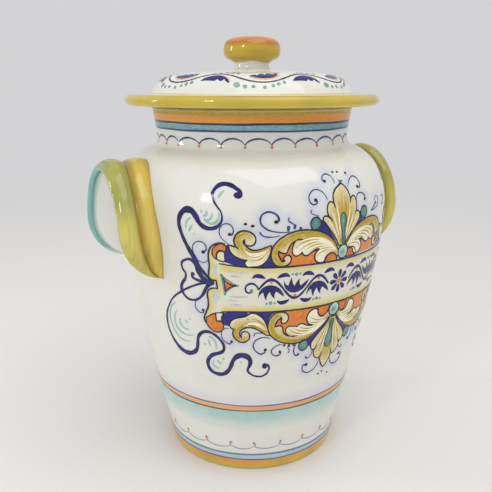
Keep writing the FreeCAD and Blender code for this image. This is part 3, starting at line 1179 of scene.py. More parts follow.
# %% Cobalt and orange grounds
COBALT_LOAD = 0.55
ORANGE_LOAD = 0.45
cobalt_ground = Coat(on_jar, 0.12, 32)
upper_panel = [
    (-78.8, 178.8, TIP), (-77.3, 178.6), (-76.8, 175.5), (-74, 172), (-70, 170), (-67.2, 168.5, TIP),
    (-67.5, 166), (-66, 164.6, TIP), (-71, 165), (-76, 166.3), (-80.3, 168, TIP), (-80, 172),
    (-79.3, 176)]
upper_wedge = [
    (-50.9, 176.5, TIP), (-53, 170), (-57, 166), (-61, 164.4, TIP), (-54, 164.2), (-47, 164.3, TIP),
    (-49.5, 168), (-50.8, 172)]
lower_panel = [
    (-84.5, 126.5, TIP), (-84, 129.5), (-81.5, 132.6, TIP), (-75, 133.8), (-66, 133.4, TIP),
    (-66.2, 129.0, TIP), (-70, 130), (-74, 128.5), (-77, 126), (-78.8, 123.2, TIP), (-81.5, 123.2)]
lower_wedge = [
    (-61, 133.6, TIP), (-54, 133.7), (-46, 133.6, TIP), (-50.5, 130), (-52.3, 124, TIP), (-54.5, 128),
    (-58, 131.5)]
upper_bar = [
    (-4.9, 172.2, TIP), (-8, 178.5), (-12, 184.5), (-16, 190), (-19, 192.6, TIP), (-20.5, 190),
    (-21, 187.5), (-24, 185.2, TIP), (-19, 184), (-14, 181.3), (-10, 178.2), (-7, 174.8)]
lower_bar = [
    (-3.2, 125.2, TIP), (-7, 119.8), (-11, 116), (-15, 113), (-20, 110.4, TIP), (-21, 108),
    (-19.5, 104.6, TIP), (-17.2, 104), (-15.6, 107.5), (-12.2, 112), (-7.6, 117), (-3.4, 122, TIP)]
for shape, mirror in ((upper_panel, END_MIRROR), (upper_wedge, UP_MIRROR), (lower_panel, END_MIRROR),
                      (lower_wedge, LOW_MIRROR), (upper_bar, UP_MIRROR), (lower_bar, LOW_MIRROR)):
    cobalt_ground.fill(shape, COBALT_LOAD)
    cobalt_ground.fill(mirrored(shape, **mirror), COBALT_LOAD)
cobalt_ground.finish("cobalt_ground", cobalt, "jar", "body_glaze")

orange_ground = Coat(on_jar, 0.13, 33)
upper_orange = [
    (-48, 164.3, TIP), (-47.6, 171), (-46.6, 175, TIP), (-41, 180.5), (-36, 181.2, TIP), (-30, 176),
    (-19, 174.4, TIP), (-12, 171), (-4.2, 168, TIP), (-4.4, 164.2, TIP)]
lower_orange = [
    (-47, 133.6, TIP), (-48.2, 127), (-47, 122, TIP), (-40, 115.5), (-34.5, 114.4, TIP), (-30, 119),
    (-20, 120), (-12, 124.5), (-5.4, 127.6, TIP), (-5.2, 133.6, TIP)]
for shape, mirror in ((upper_orange, UP_MIRROR), (lower_orange, LOW_MIRROR)):
    orange_ground.fill(shape, ORANGE_LOAD)
    orange_ground.fill(mirrored(shape, **mirror), ORANGE_LOAD)
orange_ground.finish("orange_ground", orange, "jar", "body_glaze")

# %% [markdown]
# The leaves are acanthus, the oldest leaf of painted ornament. Each is one shape: a long back
# that curls over, and a front cut into lobes. A point marked as a tip keeps its corner, and the
# outline runs smoothly through the others.

# %% Outlines of the long leaves
upper_back = [
    (-4.8, 171.5, TIP), (-7, 176), (-10, 179.3), (-14, 182.4), (-19, 185), (-25, 186.6), (-31, 187.2),
    (-37, 186.6), (-43, 184.4), (-48, 180.6), (-50.6, 176.5), (-51.3, 172), (-50.2, 168), (-47.5, 165.2),
    (-44, 164.6), (-41, 165.3), (-38.8, 167.4), (-38.6, 170), (-40.2, 171.8), (-42.6, 171.3),
    (-43.6, 169.2), (-42.8, 168, TIP)]
upper_front = [
    (-44.4, 168), (-45.5, 169.8), (-46.7, 172.4), (-46.8, 174.9, TIP), (-44.6, 173.4), (-41.8, 173.2),
    (-40.5, 176), (-38.8, 179), (-36, 181, TIP), (-37.6, 178), (-38, 175), (-37.6, 172.3), (-36, 171),
    (-33.5, 171.4), (-31.4, 173.2, TIP), (-30.2, 171), (-28, 170.6), (-25.5, 172), (-22.5, 173.9),
    (-19.4, 173.9, TIP), (-21.4, 172.4), (-22.6, 169.8), (-22, 167.2), (-20, 165.2), (-17, 164.7),
    (-14.9, 165.4), (-13.6, 168), (-11.5, 169.8), (-9, 170.2), (-6.6, 169), (-5.2, 167.4)]
upper_guides = ([(-5.5, 172), (-10, 177.8), (-16, 182), (-25, 185.2), (-33, 185.6), (-41, 183.4),
                 (-47, 178.6), (-49.4, 173), (-48.6, 168.4), (-45, 166)],
                [(-5.6, 171), (-8, 171.4), (-11, 171.6), (-14, 171.2), (-17, 170), (-19, 168.4),
                 (-20.4, 166.8)])
lower_back = [
    (-3.5, 124.5, TIP), (-7, 120.5), (-11, 117), (-15, 113.8), (-20, 110.8), (-25, 109), (-31, 108.3),
    (-37, 109), (-43, 111), (-47, 113.5), (-50, 116.5), (-51.8, 121), (-51.8, 125.5), (-50, 129.5),
    (-46.5, 132.5), (-42.5, 132.9), (-39, 131.5), (-37.6, 128.5), (-38.6, 125.6), (-41, 124.3),
    (-42.8, 126), (-42.3, 128.4, TIP)]
lower_front = [
    (-43.6, 128.2), (-45.8, 126), (-47, 122.3, TIP), (-44.5, 123), (-42, 122.4), (-41.2, 120.5),
    (-40.7, 118), (-38.5, 115.6), (-35, 114.4, TIP), (-38.3, 116.8), (-39, 119.5), (-37.5, 121.6),
    (-34.5, 121.8), (-30.5, 121, TIP), (-29.5, 122.2), (-26.5, 122.6), (-23.5, 121.3), (-20, 120.3),
    (-17.5, 120.3, TIP), (-21, 121.5), (-23.2, 124.5), (-23.2, 128.5), (-21, 131.3), (-17.5, 132.3),
    (-15.2, 131.2), (-14.8, 129), (-13, 126.5), (-10, 125.6), (-7.5, 127), (-5.6, 128.6)]
lower_guides = ([(-4.2, 124), (-9, 118.2), (-16, 113.2), (-25, 110.2), (-33, 109.6), (-41, 111.6),
                 (-47, 115.6), (-50.2, 121), (-50, 126), (-46, 130.8)],
                [(-4.6, 125.6), (-8, 124.6), (-12, 124.4), (-16, 125.8), (-19.4, 128), (-20.6, 130)])
print("long leaves:", len(upper_back + upper_front + lower_back + lower_front), "chosen points")

# %% [markdown]
# A smaller leaf curls away beside each long one, and a palmette stands between the long leaves,
# above the banner and below it. The upper palmette leans, so both of its halves are drawn.

# %% Outlines of the side leaves and palmettes
side_up = [
    (-51.2, 178.6, TIP), (-54, 177.6), (-58, 176.2), (-62, 175.6), (-65.5, 177.2), (-67.6, 180),
    (-67.4, 182.6, TIP), (-68.4, 181), (-67.6, 179.4), (-65, 178.5), (-62.5, 178.8), (-60.8, 182.5),
    (-62.5, 186), (-66.5, 187.8), (-70, 187.5), (-73, 185), (-74, 181), (-72.5, 177.6, TIP), (-75, 178.2),
    (-77.4, 178.9, TIP), (-76.8, 175.5), (-74, 172), (-70, 170), (-66, 169.3, TIP), (-67.6, 167.3),
    (-66.5, 165.3), (-62, 164.8), (-57, 166), (-53.5, 169.5), (-51.8, 173.5)]
side_up_guides = ([(-51.4, 178), (-57, 175.4), (-64, 175), (-70.6, 178), (-72.4, 182), (-70, 186),
                   (-65, 186.4)],
                  [(-52.2, 176), (-54.6, 171.4), (-58, 168), (-62, 166.4), (-65.6, 166.4)])
side_low = [
    (-50, 116.2, TIP), (-52, 116.2), (-56, 118.8), (-60, 121.2), (-64, 122.4), (-68, 122), (-71.4, 119.6),
    (-71.8, 116.4), (-70.4, 114.8, TIP), (-70.8, 116.6), (-69.8, 118.8), (-67.6, 119.4), (-65.4, 118),
    (-64.8, 115), (-67, 112), (-71.5, 111.3), (-75, 113.5), (-76.8, 117.5), (-75.6, 121, TIP),
    (-77.4, 121.4), (-78.8, 123.2, TIP), (-77.5, 127), (-74, 129), (-68, 130.4), (-63, 133), (-58, 131.2),
    (-54.5, 127.5), (-52.5, 123), (-51.4, 119.5)]
side_low_guides = ([(-51, 117.2), (-56, 120), (-63, 123.6), (-70, 122.8), (-74.6, 118.6), (-73, 113.6),
                    (-68, 112.4)],
                   [(-52, 121), (-54.6, 126), (-58.4, 130), (-63, 131.6)])
plume_up = [
    (-4.5, 174.2, TIP), (-8, 180), (-12, 185), (-16, 190), (-17.8, 192), (-17.2, 194.2), (-14.5, 194.2),
    (-11.8, 192, TIP), (-14.3, 195.5), (-14.6, 198.5), (-13.8, 201.5), (-12.3, 202.8), (-10.2, 202.3),
    (-8.8, 200.2, TIP), (-9.4, 203.5), (-9, 207), (-6.8, 209.8), (-3.5, 211.6), (-1.0, 213, TIP)]
plume_up_right = [
    (2.4, 210.4), (4.4, 207), (5.2, 203.6), (5.2, 202.2, TIP), (6.4, 204), (8.6, 204.6), (10.4, 202),
    (10.8, 198.6), (9.8, 195, TIP), (12, 194.6), (13.4, 193.4), (13.6, 190.6), (11.6, 187.4),
    (7.6, 182.6), (4.6, 178.4), (2.4, 174.4, TIP)]
plume_up_guides = ([(-1.6, 176), (-1.8, 190), (-1.2, 208)], [(-4.4, 175.6), (-9, 183), (-16.4, 192.4)])
plume_up_right_guides = ([(-1.0, 176), (-0.8, 190), (-0.8, 208)], [(1.8, 175.6), (6, 183), (12.6, 191.6)])
plume_low = [
    (-2.6, 123.4, TIP), (-6.5, 118), (-11, 113.5), (-15, 109), (-17, 105.5), (-16.6, 103.2), (-15, 100.8),
    (-12.6, 100.6), (-11.8, 102.4, TIP), (-13.3, 98), (-12, 95), (-9.5, 92.9), (-6.8, 92.8),
    (-5.4, 95.5, TIP), (-5.2, 90.5), (-3, 86.3), (0.2, 83.2, TIP)]
plume_low_guides = ([(-0.6, 121), (-0.4, 108), (0, 87)], [(-2.8, 121.4), (-8, 114.6), (-15.4, 105)])
print("side leaves:", len(side_up + side_low), "chosen points")
print("palmettes:", len(plume_up + plume_up_right + plume_low), "chosen points")

# %% [markdown]
# The comb of strokes is what makes a leaf look painted. A stroke's line is found between the two
# guide lines by weight, dark and cream strokes take turns, and each one keeps only the stretch
# that lies inside the leaf.

# %% Comb a leaf with strokes
COMB_POINTS = 28
leaf_dark = Coat(on_jar, 0.20, 35)
leaf_pale = Coat(on_jar, 0.21, 36)


def comb(outline, guides, count, width=1.05):
    """Thin strokes between two guide lines, dark and pale in turn, cut off at the leaf's edge."""
    edge = np.array([tuple(p) for p in flow(outline, closed=True)])
    first, second = (np.array([tuple(p) for p in flow(guide, step=0.8)]) for guide in guides)
    share = np.linspace(0, 1, COMB_POINTS)
    first, second = (np.column_stack([np.interp(share, np.linspace(0, 1, len(g)), g[:, i]) for i in (0, 1)])
                     for g in (first, second))
    for i in range(count):
        weight = (i + leaf_dark.random.uniform(0.25, 0.75)) / count
        press = width * (1.5 - 0.8 * weight)
        line = first * (1 - weight) + second * weight
        held = inside(edge, line) & (distance_to(edge, line) > 0.5)
        start = leaf_dark.random.randint(0, 4)
        while start < len(line) and not held[start]:
            start += 1
        end = start
        while end < len(line) and held[end]:
            end += 1
        if end - start < 4:
            continue
        points = [tuple(p) for p in line[start:end:2]]
        coat = leaf_pale if i % 2 and weight > 0.25 else leaf_dark
        coat.stroke(points, [0.2, press, press * 0.8, 0.2], leaf_dark.random.uniform(0.4, 0.95), 0.2)


print("points along a stroke of the comb", COMB_POINTS)

# %% [markdown]
# A leaf is painted in three steps: a cream fill that deepens to ochre along its back, the comb,
# and a dark outline. One function paints all the leaves.


# %% Paint the leaves
leaf_fill = Coat(on_jar, 0.17, 34)
leaf_edge = Coat(on_jar, 0.27, 37)


def leaf(outline, back, guides, count, reach=10.5, width=1.05, rest=0.1):
    """One leaf: its fill, its strokes and its dark outline."""
    leaf_fill.fill(outline, near(back, reach, 1.0, rest), grain=1.6)
    comb(outline, guides, count, width)
    leaf_edge.stroke(outline + outline[:1], [0.8, 1.05, 0.85, 1.1, 0.85, 1.05, 0.8], 0.85, 0.1)


def leaf_and_mirror(outline, back, guides, count, mirror, **more):
    """A leaf, and the same leaf turned over."""
    leaf(outline, back, guides, count, **more)
    leaf(mirrored(outline, **mirror)[::-1], mirrored(back, **mirror),
         [mirrored(guide, **mirror) for guide in guides], count, **more)


leaf_and_mirror(side_up, side_up_guides[0], side_up_guides, 10, UP_MIRROR, reach=9)
leaf_and_mirror(side_low, side_low_guides[0], side_low_guides, 10, LOW_MIRROR, reach=9)
leaf_and_mirror(upper_back + upper_front, upper_guides[0], upper_guides, 18, UP_MIRROR)
leaf_and_mirror(lower_back + lower_front, lower_guides[0], lower_guides, 18, LOW_MIRROR)
plume_heart = [(-1.8, 176), (-1.8, 196)]
plume_low_heart = [(-0.4, 122), (-0.2, 102)]
leaf(plume_up + plume_up_right, plume_heart, plume_up_guides, 8, reach=24, rest=0.12)
comb(plume_up + plume_up_right, plume_up_right_guides, 8)
low_outline = plume_low + mirrored(plume_low, about=0.1)[::-1]
leaf(low_outline, plume_low_heart, plume_low_guides, 8, reach=24, rest=0.12)
comb(low_outline, [mirrored(guide) for guide in plume_low_guides], 8)
leaf_fill.finish("leaves", leaf_glaze, "jar", "body_glaze")
leaf_dark.finish("leaf_strokes_ochre", ochre, "jar", "body_glaze")
leaf_pale.finish("leaf_strokes_cream", leaf_light, "jar", "body_glaze")

# %% [markdown]
# The ends of the banner roll up into orange curls, with a patch of cream where the back of the
# strip shows. They are plain fills with a dark outline, and so are the drops further on.

# %% Curls at the ends
curl_fill = Coat(on_jar, 0.14, 38)
cream_fill = Coat(on_jar, 0.15, 39)
teal_fill = Coat(on_jar, 0.22, 40)
mark_edge = Coat(on_jar, 0.28, 41)

top_curl = [
    (-79, 177.5, TIP), (-81, 179.3), (-84, 179), (-87, 176.5), (-88, 173.5), (-87, 170.5),
    (-85, 169, TIP), (-85.3, 171), (-84.5, 174), (-82.5, 175.2), (-80, 174.3), (-79, 175.6, TIP)]
top_patch = [
    (-84.8, 169.2, TIP), (-85.1, 171.4), (-84.2, 173.8), (-82.2, 174.8), (-80.2, 174, TIP),
    (-79.8, 168, TIP), (-82.5, 168.2)]
low_curl = [
    (-95.3, 128, TIP), (-95.5, 123.5), (-93, 119.8), (-89, 117.8), (-85.5, 118.5), (-83.3, 121.5),
    (-83.3, 124.5), (-85.3, 126.2), (-88, 125.6, TIP), (-88.2, 128.5), (-88.4, 131.8, TIP),
    (-91.5, 130.5), (-94, 128.8)]
low_patch = [
    (-88.2, 132, TIP), (-88, 126.2, TIP), (-85.6, 126.4), (-84.4, 126.6, TIP), (-84, 129.5),
    (-82.2, 132.6, TIP)]


def edged(coat, shape, shade, width=0.8):
    """A filled shape with a dark outline."""
    coat.fill(shape, shade)
    mark_edge.stroke(shape + shape[:1], [width * 0.8, width, width * 0.8, width, width * 0.8], 0.8, 0.1)


curls = [
    (curl_fill, top_curl, 0.55), (cream_fill, top_patch, 0.3), (curl_fill, low_curl, 0.55),
    (cream_fill, low_patch, 0.3)]
for mirror in (None, END_MIRROR):
    for coat, shape, shade in curls:
        shape = mirrored(shape, **mirror)[::-1] if mirror else shape
        edged(coat, shape, shade, 0.9)
print("curls and patches", 2 * len(curls))

# %% [markdown]
# Round teal beads, drops and berries sit where the leaves meet. A bead is painted pale and then
# darkened towards its middle, which makes it look round. It lies above the leaves' fine outlines.


# %% Beads, drops and berries
bead_glaze = pigment("bead_glaze", tint(192, 220, 212), tint(88, 144, 136), depth=0.1)


def bead_shade(centre, radius):
    """Pale at the rim and darkest a little below the middle."""
    heart = np.array(centre) + (-0.12 * radius, -0.15 * radius)

    def shade(points):
        return np.clip(1.15 - np.hypot(*(points - heart).T) / radius * 1.25, 0, 1)
    return shade


def oval(centre, wide, tall):
    """Points round an oval."""
    return [(centre[0] + wide * math.cos(a), centre[1] + tall * math.sin(a))
            for a in np.radians(range(0, 360, 30))]


upper_drop = [
    (-1.2, 175.4), (-2.6, 184), (-4.4, 190), (-3.6, 194), (-2, 195.4), (-0.3, 194), (0.5, 190),
    (-0.2, 184), (-0.5, 175.4)]
lower_drop = [
    (-0.9, 121.5), (-2.2, 113), (-3.8, 105.6), (-3.2, 102), (-0.2, 100), (2.9, 102), (3.5, 105.6),
    (1.6, 113), (0.3, 121.5)]
edged(teal_fill, upper_drop, near([(-1.8, 180), (-2, 193)], 2.6, 0.45, 1.0), 0.7)
edged(teal_fill, lower_drop, near([(-0.4, 112), (-0.2, 103)], 3.4, 0.45, 1.0), 0.7)
berries = [
    ((-23, 190.5), 3.6, 4.0), ((18.5, 193), 3.6, 4.0), ((-23.5, 105.8), 4.0, 4.2),
    ((21, 106.4), 4.0, 4.2)]
for centre, wide, tall in berries:
    heart = near([centre, (centre[0] + 0.1, centre[1])], 4.6, 0.5, 1.0)
    edged(teal_fill, oval(centre, wide, tall), heart, 0.9)
bead_fill = Coat(on_jar, 0.295, 42)
bead_edge = Coat(on_jar, 0.325, 43)
for centre, wide, tall in (((-0.3, 169.8), 4.2, 4.6), ((-0.4, 129.3), 4.6, 4.8)):
    rim = oval(centre, wide, tall)
    bead_fill.fill(rim, bead_shade(centre, wide))
    bead_edge.stroke(rim + rim[:1], [0.8, 1.0, 0.8, 1.0, 0.8], 0.8, 0.1)
for x, rise in ((-10, 0), (7.6, 1.2)):
    edged(curl_fill, [(x - 5, 164.4 + rise, TIP), (x - 4.6, 167.6 + rise), (x - 1, 170.2 + rise),
                      (x + 3, 169.4 + rise), (x + 4.9, 164.4 + rise, TIP)], 0.75)
    edged(curl_fill, [(x + 4.4, 133.4, TIP), (x + 3.6, 128.6), (x + 1.4, 126.2), (x - 1.6, 126.2),
                      (x - 4.4, 128.6), (x - 5.2, 133.4, TIP)], 0.75)
curl_fill.finish("orange_curls", orange, "jar", "body_glaze")
cream_fill.finish("cream_patches", leaf_glaze, "jar", "body_glaze")
teal_fill.finish("teal_drops", teal, "jar", "body_glaze")
bead_fill.finish("teal_beads", bead_glaze, "jar", "body_glaze")
bead_edge.finish("bead_outlines", line_blue, "jar", "body_glaze")

# %% [markdown]
# Last come the outlines, in a blue that is nearly black. They were drawn with a fine liner brush
# held upright, so they're as thin as a thread where the hand moved fast and thicker in the turns.
# The ribs inside the leaves and the dark dashes at their tips are part of the same work.

# %% Outlines and ribs
for side in (1, -1):
    for line in (banner_end[:11], banner_end[11:], [(-86.3, 155.2), (-86, 152.3), (-85.6, 149.3)],
                 [(-95.8, 123.5), (-97, 127.5), (-95.5, 131), (-93.2, 136)]):
        line = line if side == 1 else mirrored(line)
        mark_edge.stroke(line, [0.8, 1.15, 1.15, 0.9], 0.9, 0.1)
    for z, end_rise, near_rise in ((BANNER_LOW + 0.1, -0.6, 0.2), (BANNER_TOP, 2.2, 1.0)):
        line = [(-84 * side, z + end_rise), (-74 * side, z + near_rise), (-58 * side, z),
                (-30 * side, z), (0, z)]
        mark_edge.stroke(line, [0.7, 0.9, 1.1, 1.1, 1.2], 0.85, 0.1, step=3)
ribs = [
    ([(-36.5, 180.8), (-34, 181.5), (-31, 181.3)], UP_MIRROR),
    ([(-43.6, 169.2), (-42.2, 168)], UP_MIRROR),
    ([(-19.4, 173.9), (-22, 173.6), (-24.4, 172.4)], UP_MIRROR),
    ([(-31.4, 173.2), (-30.6, 171.4), (-28.4, 170.8)], UP_MIRROR),
    ([(-35, 114.4), (-32.6, 114), (-29.5, 114.2)], LOW_MIRROR),
    ([(-17.5, 120.3), (-20, 120.6), (-22, 121)], LOW_MIRROR),
    ([(-42.3, 128.4), (-43.6, 129.8)], LOW_MIRROR),
    ([(-66.2, 129), (-65.4, 128.2)], LOW_MIRROR),
    ([(-72.5, 177.6), (-71.4, 176.4)], UP_MIRROR)]
for line, mirror in ribs:
    for points in (line, mirrored(line, **mirror)):
        mark_edge.stroke(points, [0.5, 1.1, 0.4], 0.9, 0.1)
for line in ([(-11.8, 192), (-10.6, 190.6)], [(-8.8, 200.2), (-8, 198.4)], [(5.2, 202.2), (4.6, 200.4)],
             [(9.8, 195), (8.4, 193.2)], [(-11.8, 102.4), (-10.8, 104)], [(-5.4, 95.5), (-4.8, 97)],
             [(12, 102.4), (11, 104)], [(5.6, 95.5), (5, 97)], [(-2, 214.6), (0, 214), (1.6, 214.4)]):
    mark_edge.stroke(line, [1.0, 0.7, 0.3], 0.85, 0.1)
leaf_edge.finish("leaf_outlines", line_blue, "jar", "body_glaze")
mark_edge.finish("fine_outlines", line_blue, "jar", "body_glaze")

# %% [markdown]
# From each end of the banner a cobalt ribbon unrolls. One full brush made it: pressed down, the
# hairs spread and the line swells, and lifted, it thins to a hair. So each loop is a stroke with
# its widths given, and the pigment lies darker along both edges. The right side had less room
# beside the handle, and its ribbon is squeezed a little.

# %% The cobalt ribbon
ribbon = Coat(on_jar, 0.2, 43)
RIBBON_PRESS = 1.22
ribbon_strokes = [
    ([(-88, 153), (-92, 157), (-97, 163), (-101, 170), (-105, 177), (-108.5, 185), (-109.8, 191),
     (-108.5, 196), (-105, 199), (-101.5, 198.8), (-98, 195.5), (-95.5, 191.5), (-92, 189),
     (-87.5, 188.6), (-83.5, 190.5), (-81.3, 194), (-81.8, 198.5), (-84.5, 202), (-87, 205.5), (-88, 209),
     (-86, 212.8), (-82, 214.8), (-77.5, 214.5), (-73, 212.5), (-70, 210), (-69.8, 208)],
     [1.4, 1.6, 2.2, 2.6, 2.2, 1.9, 2.0, 2.4, 3.2, 3.0, 2.4, 2.2, 1.6, 0.8, 0.8, 1.6, 2.0, 2.0, 1.9,
     1.4]),
    ([(-90, 153.5), (-95, 155.5), (-98, 160), (-100, 165), (-103, 167.5), (-106.5, 167), (-109.8, 164.5),
     (-109.5, 160.5), (-107.5, 157.5), (-108.2, 154.2), (-111, 150.5), (-112.3, 147), (-111, 142.5),
     (-108, 139.8), (-104.5, 139.3), (-100.5, 140.5), (-96.5, 144), (-93.5, 149), (-91, 152), (-88, 153)],
     [1.8, 2.6, 2.6, 2.0, 1.5, 1.3, 1.2, 1.1, 1.6, 2.0, 1.6, 1.3, 1.2, 1.4, 1.8, 2.2, 2.2]),
    ([(-90, 153), (-97, 151.8), (-105, 148.5), (-113, 144), (-120, 139), (-126, 132), (-130, 125),
     (-131.5, 118), (-130.5, 110), (-127, 103.5), (-122, 99), (-116, 97.3), (-110.5, 98.5), (-106.5, 102),
     (-105, 107), (-103.5, 112.5), (-100, 116), (-95.5, 117.2), (-90.5, 115.5), (-86.5, 112),
     (-84, 107.5), (-84.5, 104), (-87.5, 101.8), (-92, 100.3), (-96, 97.5), (-98.3, 93.5), (-98.2, 89.5),
     (-95.5, 86), (-91, 84.5), (-86, 85), (-82, 88), (-79.5, 92), (-77.3, 97), (-74, 100.2), (-70, 101),
     (-66, 99.5), (-64.3, 96.5), (-65, 93), (-66.5, 89), (-64, 86), (-59.5, 84.2), (-55, 84.3), (-51, 87),
     (-49.8, 91), (-51.5, 93.8)],
     [1.6, 1.2, 1.1, 1.3, 1.1, 0.9, 1.0, 1.4, 1.3, 1.6, 2.6, 3.0, 2.6, 2.2, 2.0, 2.0, 1.6, 1.6, 1.8, 2.2,
     2.4, 2.4, 2.2, 2.4, 2.6, 2.4, 3.4, 3.2, 1.8, 1.1, 1.1, 1.2, 1.2])]
ribbon_balls = [((-71.8, 208.6), 2.6, 0.72), ((-102.2, 157.9), 1.5, 0.75), ((-53.3, 92.5), 2.2, 0.95)]
ribbon_leaf = [
    (-90, 153, TIP), (-96, 152.6), (-100.5, 153.4), (-103.8, 156), (-103.2, 158.4, TIP), (-101.5, 155.8),
    (-97, 154.6)]
knot = [(-87.4, 153.8), (-90.6, 154.6), (-93, 153), (-90.6, 151.6)]
for mirror in (None, RIGHT_SIDE):
    for points, widths in ribbon_strokes:
        points = mirrored(points, **mirror) if mirror else points
        ribbon.stroke(points, [RIBBON_PRESS * width for width in widths], 0.95, 0.4)
    for centre, radius, tall in ribbon_balls:
        centre = mirrored([centre], **mirror)[0] if mirror else centre
        ribbon.dot(centre, radius, tall, 1.0)
    for shape in (ribbon_leaf, knot):
        ribbon.fill(mirrored(shape, **mirror)[::-1] if mirror else shape, 0.5)
ribbon.finish("cobalt_ribbon", ribbon_blue, "jar", "body_glaze")

# %% [markdown]
# Fine tendrils spring from the backs of the leaves and end in a small ball, where the brush was
# set down and turned. Each is one stroke that gets thicker towards its ball.

# %% Tendrils
tendrils = Coat(on_jar, 0.17, 44)
balls = Coat(on_jar, 0.25, 45)
TENDRIL_PRESS = 1.3


def tendril(points, ball=None, width=0.55, radius=1.0):
    """A thin line that ends in a ball."""
    width = width * TENDRIL_PRESS
    tendrils.stroke(points, [width * 0.5, width * 0.8, width, width, width * 1.3], 0.8, 0.15)
    if ball:
        tendrils.stroke([points[-1], ball], [width, width * 1.6], 0.9, 0.1)
        balls.dot(ball, radius, 0.9, 0.9)


top_tendrils = [
    ([(-40, 186.6), (-48, 186.8), (-54, 188.6), (-58, 193), (-57.4, 197), (-54, 199), (-50.5, 198.6),
     (-47.3, 196), (-46.8, 193.5)], (-48.5, 193), 0.8, 1.3),
    ([(-36, 190.5), (-39, 192), (-41, 194), (-40.4, 195.2)], None, 0.6, 1),
    ([(-46, 184.6), (-52, 183.8), (-57, 185), (-58.4, 187)], None, 0.6, 1)]
left_tendrils = [
    ([(-14, 204), (-16, 208), (-20, 210.5), (-24, 210.2), (-27, 206.5), (-26, 203), (-23, 202),
     (-21.2, 203.5)], (-22.5, 204.6), 0.55, 1.2),
    ([(-6, 213), (-7, 217), (-10.5, 218.9), (-14, 218), (-15.3, 215.8)], (-13.5, 214.9), 0.5, 1.0),
    ([(-20.5, 195), (-24, 196), (-26.4, 197.6), (-25.6, 199)], None, 0.4, 1)]
right_tendrils = [
    ([(5, 210), (8, 214), (13, 216), (17, 214), (18, 211), (16.5, 208.6)], (14.5, 209.5), 0.55, 1.1),
    ([(11, 201), (13, 205), (17, 205.5), (21, 203)], (20.5, 201), 0.6, 1.1),
    ([(34, 197.6), (35, 200), (38, 200.6), (40.6, 198.6), (38.6, 194.6), (34, 193), (28, 192.4)],
     (35.4, 196.6), 0.5, 0.9),
    ([(48, 198.6), (51, 199.2), (55, 198.2)], (50, 193.6), 0.6, 0.9)]
side_tendrils = [
    ([(-76.5, 178.5), (-79, 180.5), (-82, 183.5), (-83, 187.5), (-80.5, 191.5), (-77, 191.8),
     (-74.3, 188.5), (-75.5, 184.8)], (-76.6, 185.5), 0.5, 1.1),
    ([(-91, 168), (-96, 166.5), (-99.5, 170.5), (-101, 174.5), (-100, 178), (-96, 180), (-92.5, 178.5),
     (-91.8, 174.5)], (-93.8, 173.3), 0.5, 1.2),
    ([(-98.5, 141), (-102.5, 138), (-102.8, 134), (-99.8, 131), (-97, 131.2)], (-97.3, 133), 0.5, 1.1),
    ([(-79, 121), (-84, 119.8), (-85.3, 115.5), (-83, 111), (-79, 109.3)], (-78, 111.3), 0.5, 1.1)]
low_tendrils = [
    ([(-50, 113.6), (-56, 114.6), (-61, 112), (-62.2, 108), (-60, 104), (-56.5, 102), (-53.3, 103.5)],
     (-53.2, 105.3), 0.7, 1.2),
    ([(-41, 108.6), (-45.5, 107.5), (-48.5, 104.5), (-47.8, 101.5), (-44.5, 100), (-41.3, 101.5)],
     (-42, 102.9), 0.7, 1.1),
    ([(-29, 108.4), (-31, 104), (-30.5, 100), (-28.3, 98)], (-27, 99), 0.7, 1.0),
    ([(-6.5, 92), (-8, 86), (-13, 82.5), (-18, 82.7), (-21.5, 86), (-21, 89.5)], (-18.3, 89.2), 0.65, 1.3),
    ([(-15, 101), (-15, 97), (-17, 94.6), (-20, 95)], (-19.6, 95.6), 0.5, 0.8),
    ([(-35, 108), (-36, 105), (-34.6, 103.6), (-35.4, 101.4)], None, 0.5, 1),
    ([(-54, 117.4), (-58, 118.2), (-61, 117.8), (-61.8, 115.8)], None, 0.5, 1)]
rows = [(top_tendrils, None), (left_tendrils, None), (right_tendrils, None),
        (side_tendrils, RIGHT_SIDE), (low_tendrils, LOW_MIRROR)]
for row, mirror in rows:
    for points, ball, width, radius in row:
        tendril(points, ball, width, radius)
        if mirror:
            tendril(mirrored(points, **mirror), ball and mirrored([ball], **mirror)[0], width, radius)
crumbs = [
    ((-67, 192), 1.1), ((-62.7, 190.8), 1.2), ((64, 193), 1.1), ((60, 191.8), 1.2), ((-4.5, 219.6), 0.9),
    ((-0.4, 219.4), 0.9), ((7, 218.3), 1.0), ((-4, 78.4), 1.0), ((-0.3, 79.6), 0.9), ((7, 76.6), 0.9)]
for centre, radius in crumbs:
    balls.dot(centre, radius, 0.7, 0.9)
ticks = [
    (-41, 188.7, 3.2), (-37, 189.4, 2.6), (-33.2, 188.5, 1.6), (-39.2, 107.6, 1.8), (-35.4, 107.2, 2.4),
    (-31.6, 107.2, 2.0), (38.6, 107.6, 1.8), (34.8, 107.2, 2.4)]
for x, z, tall in ticks:
    tendrils.stroke([(x, z - tall / 2), (x + 0.2, z + tall / 2)], [1.6, 2.0, 1.7], 0.6, 0.2, step=0.8)
tendrils.finish("tendrils", cobalt_wash, "jar", "body_glaze")
balls.finish("tendril_balls", line_blue, "jar", "body_glaze")

# %% [markdown]
# Soft turquoise dashes shade the loops of the ribbon. They're broad, pale and quick, and follow
# the loops like the shadow lines in an engraving.

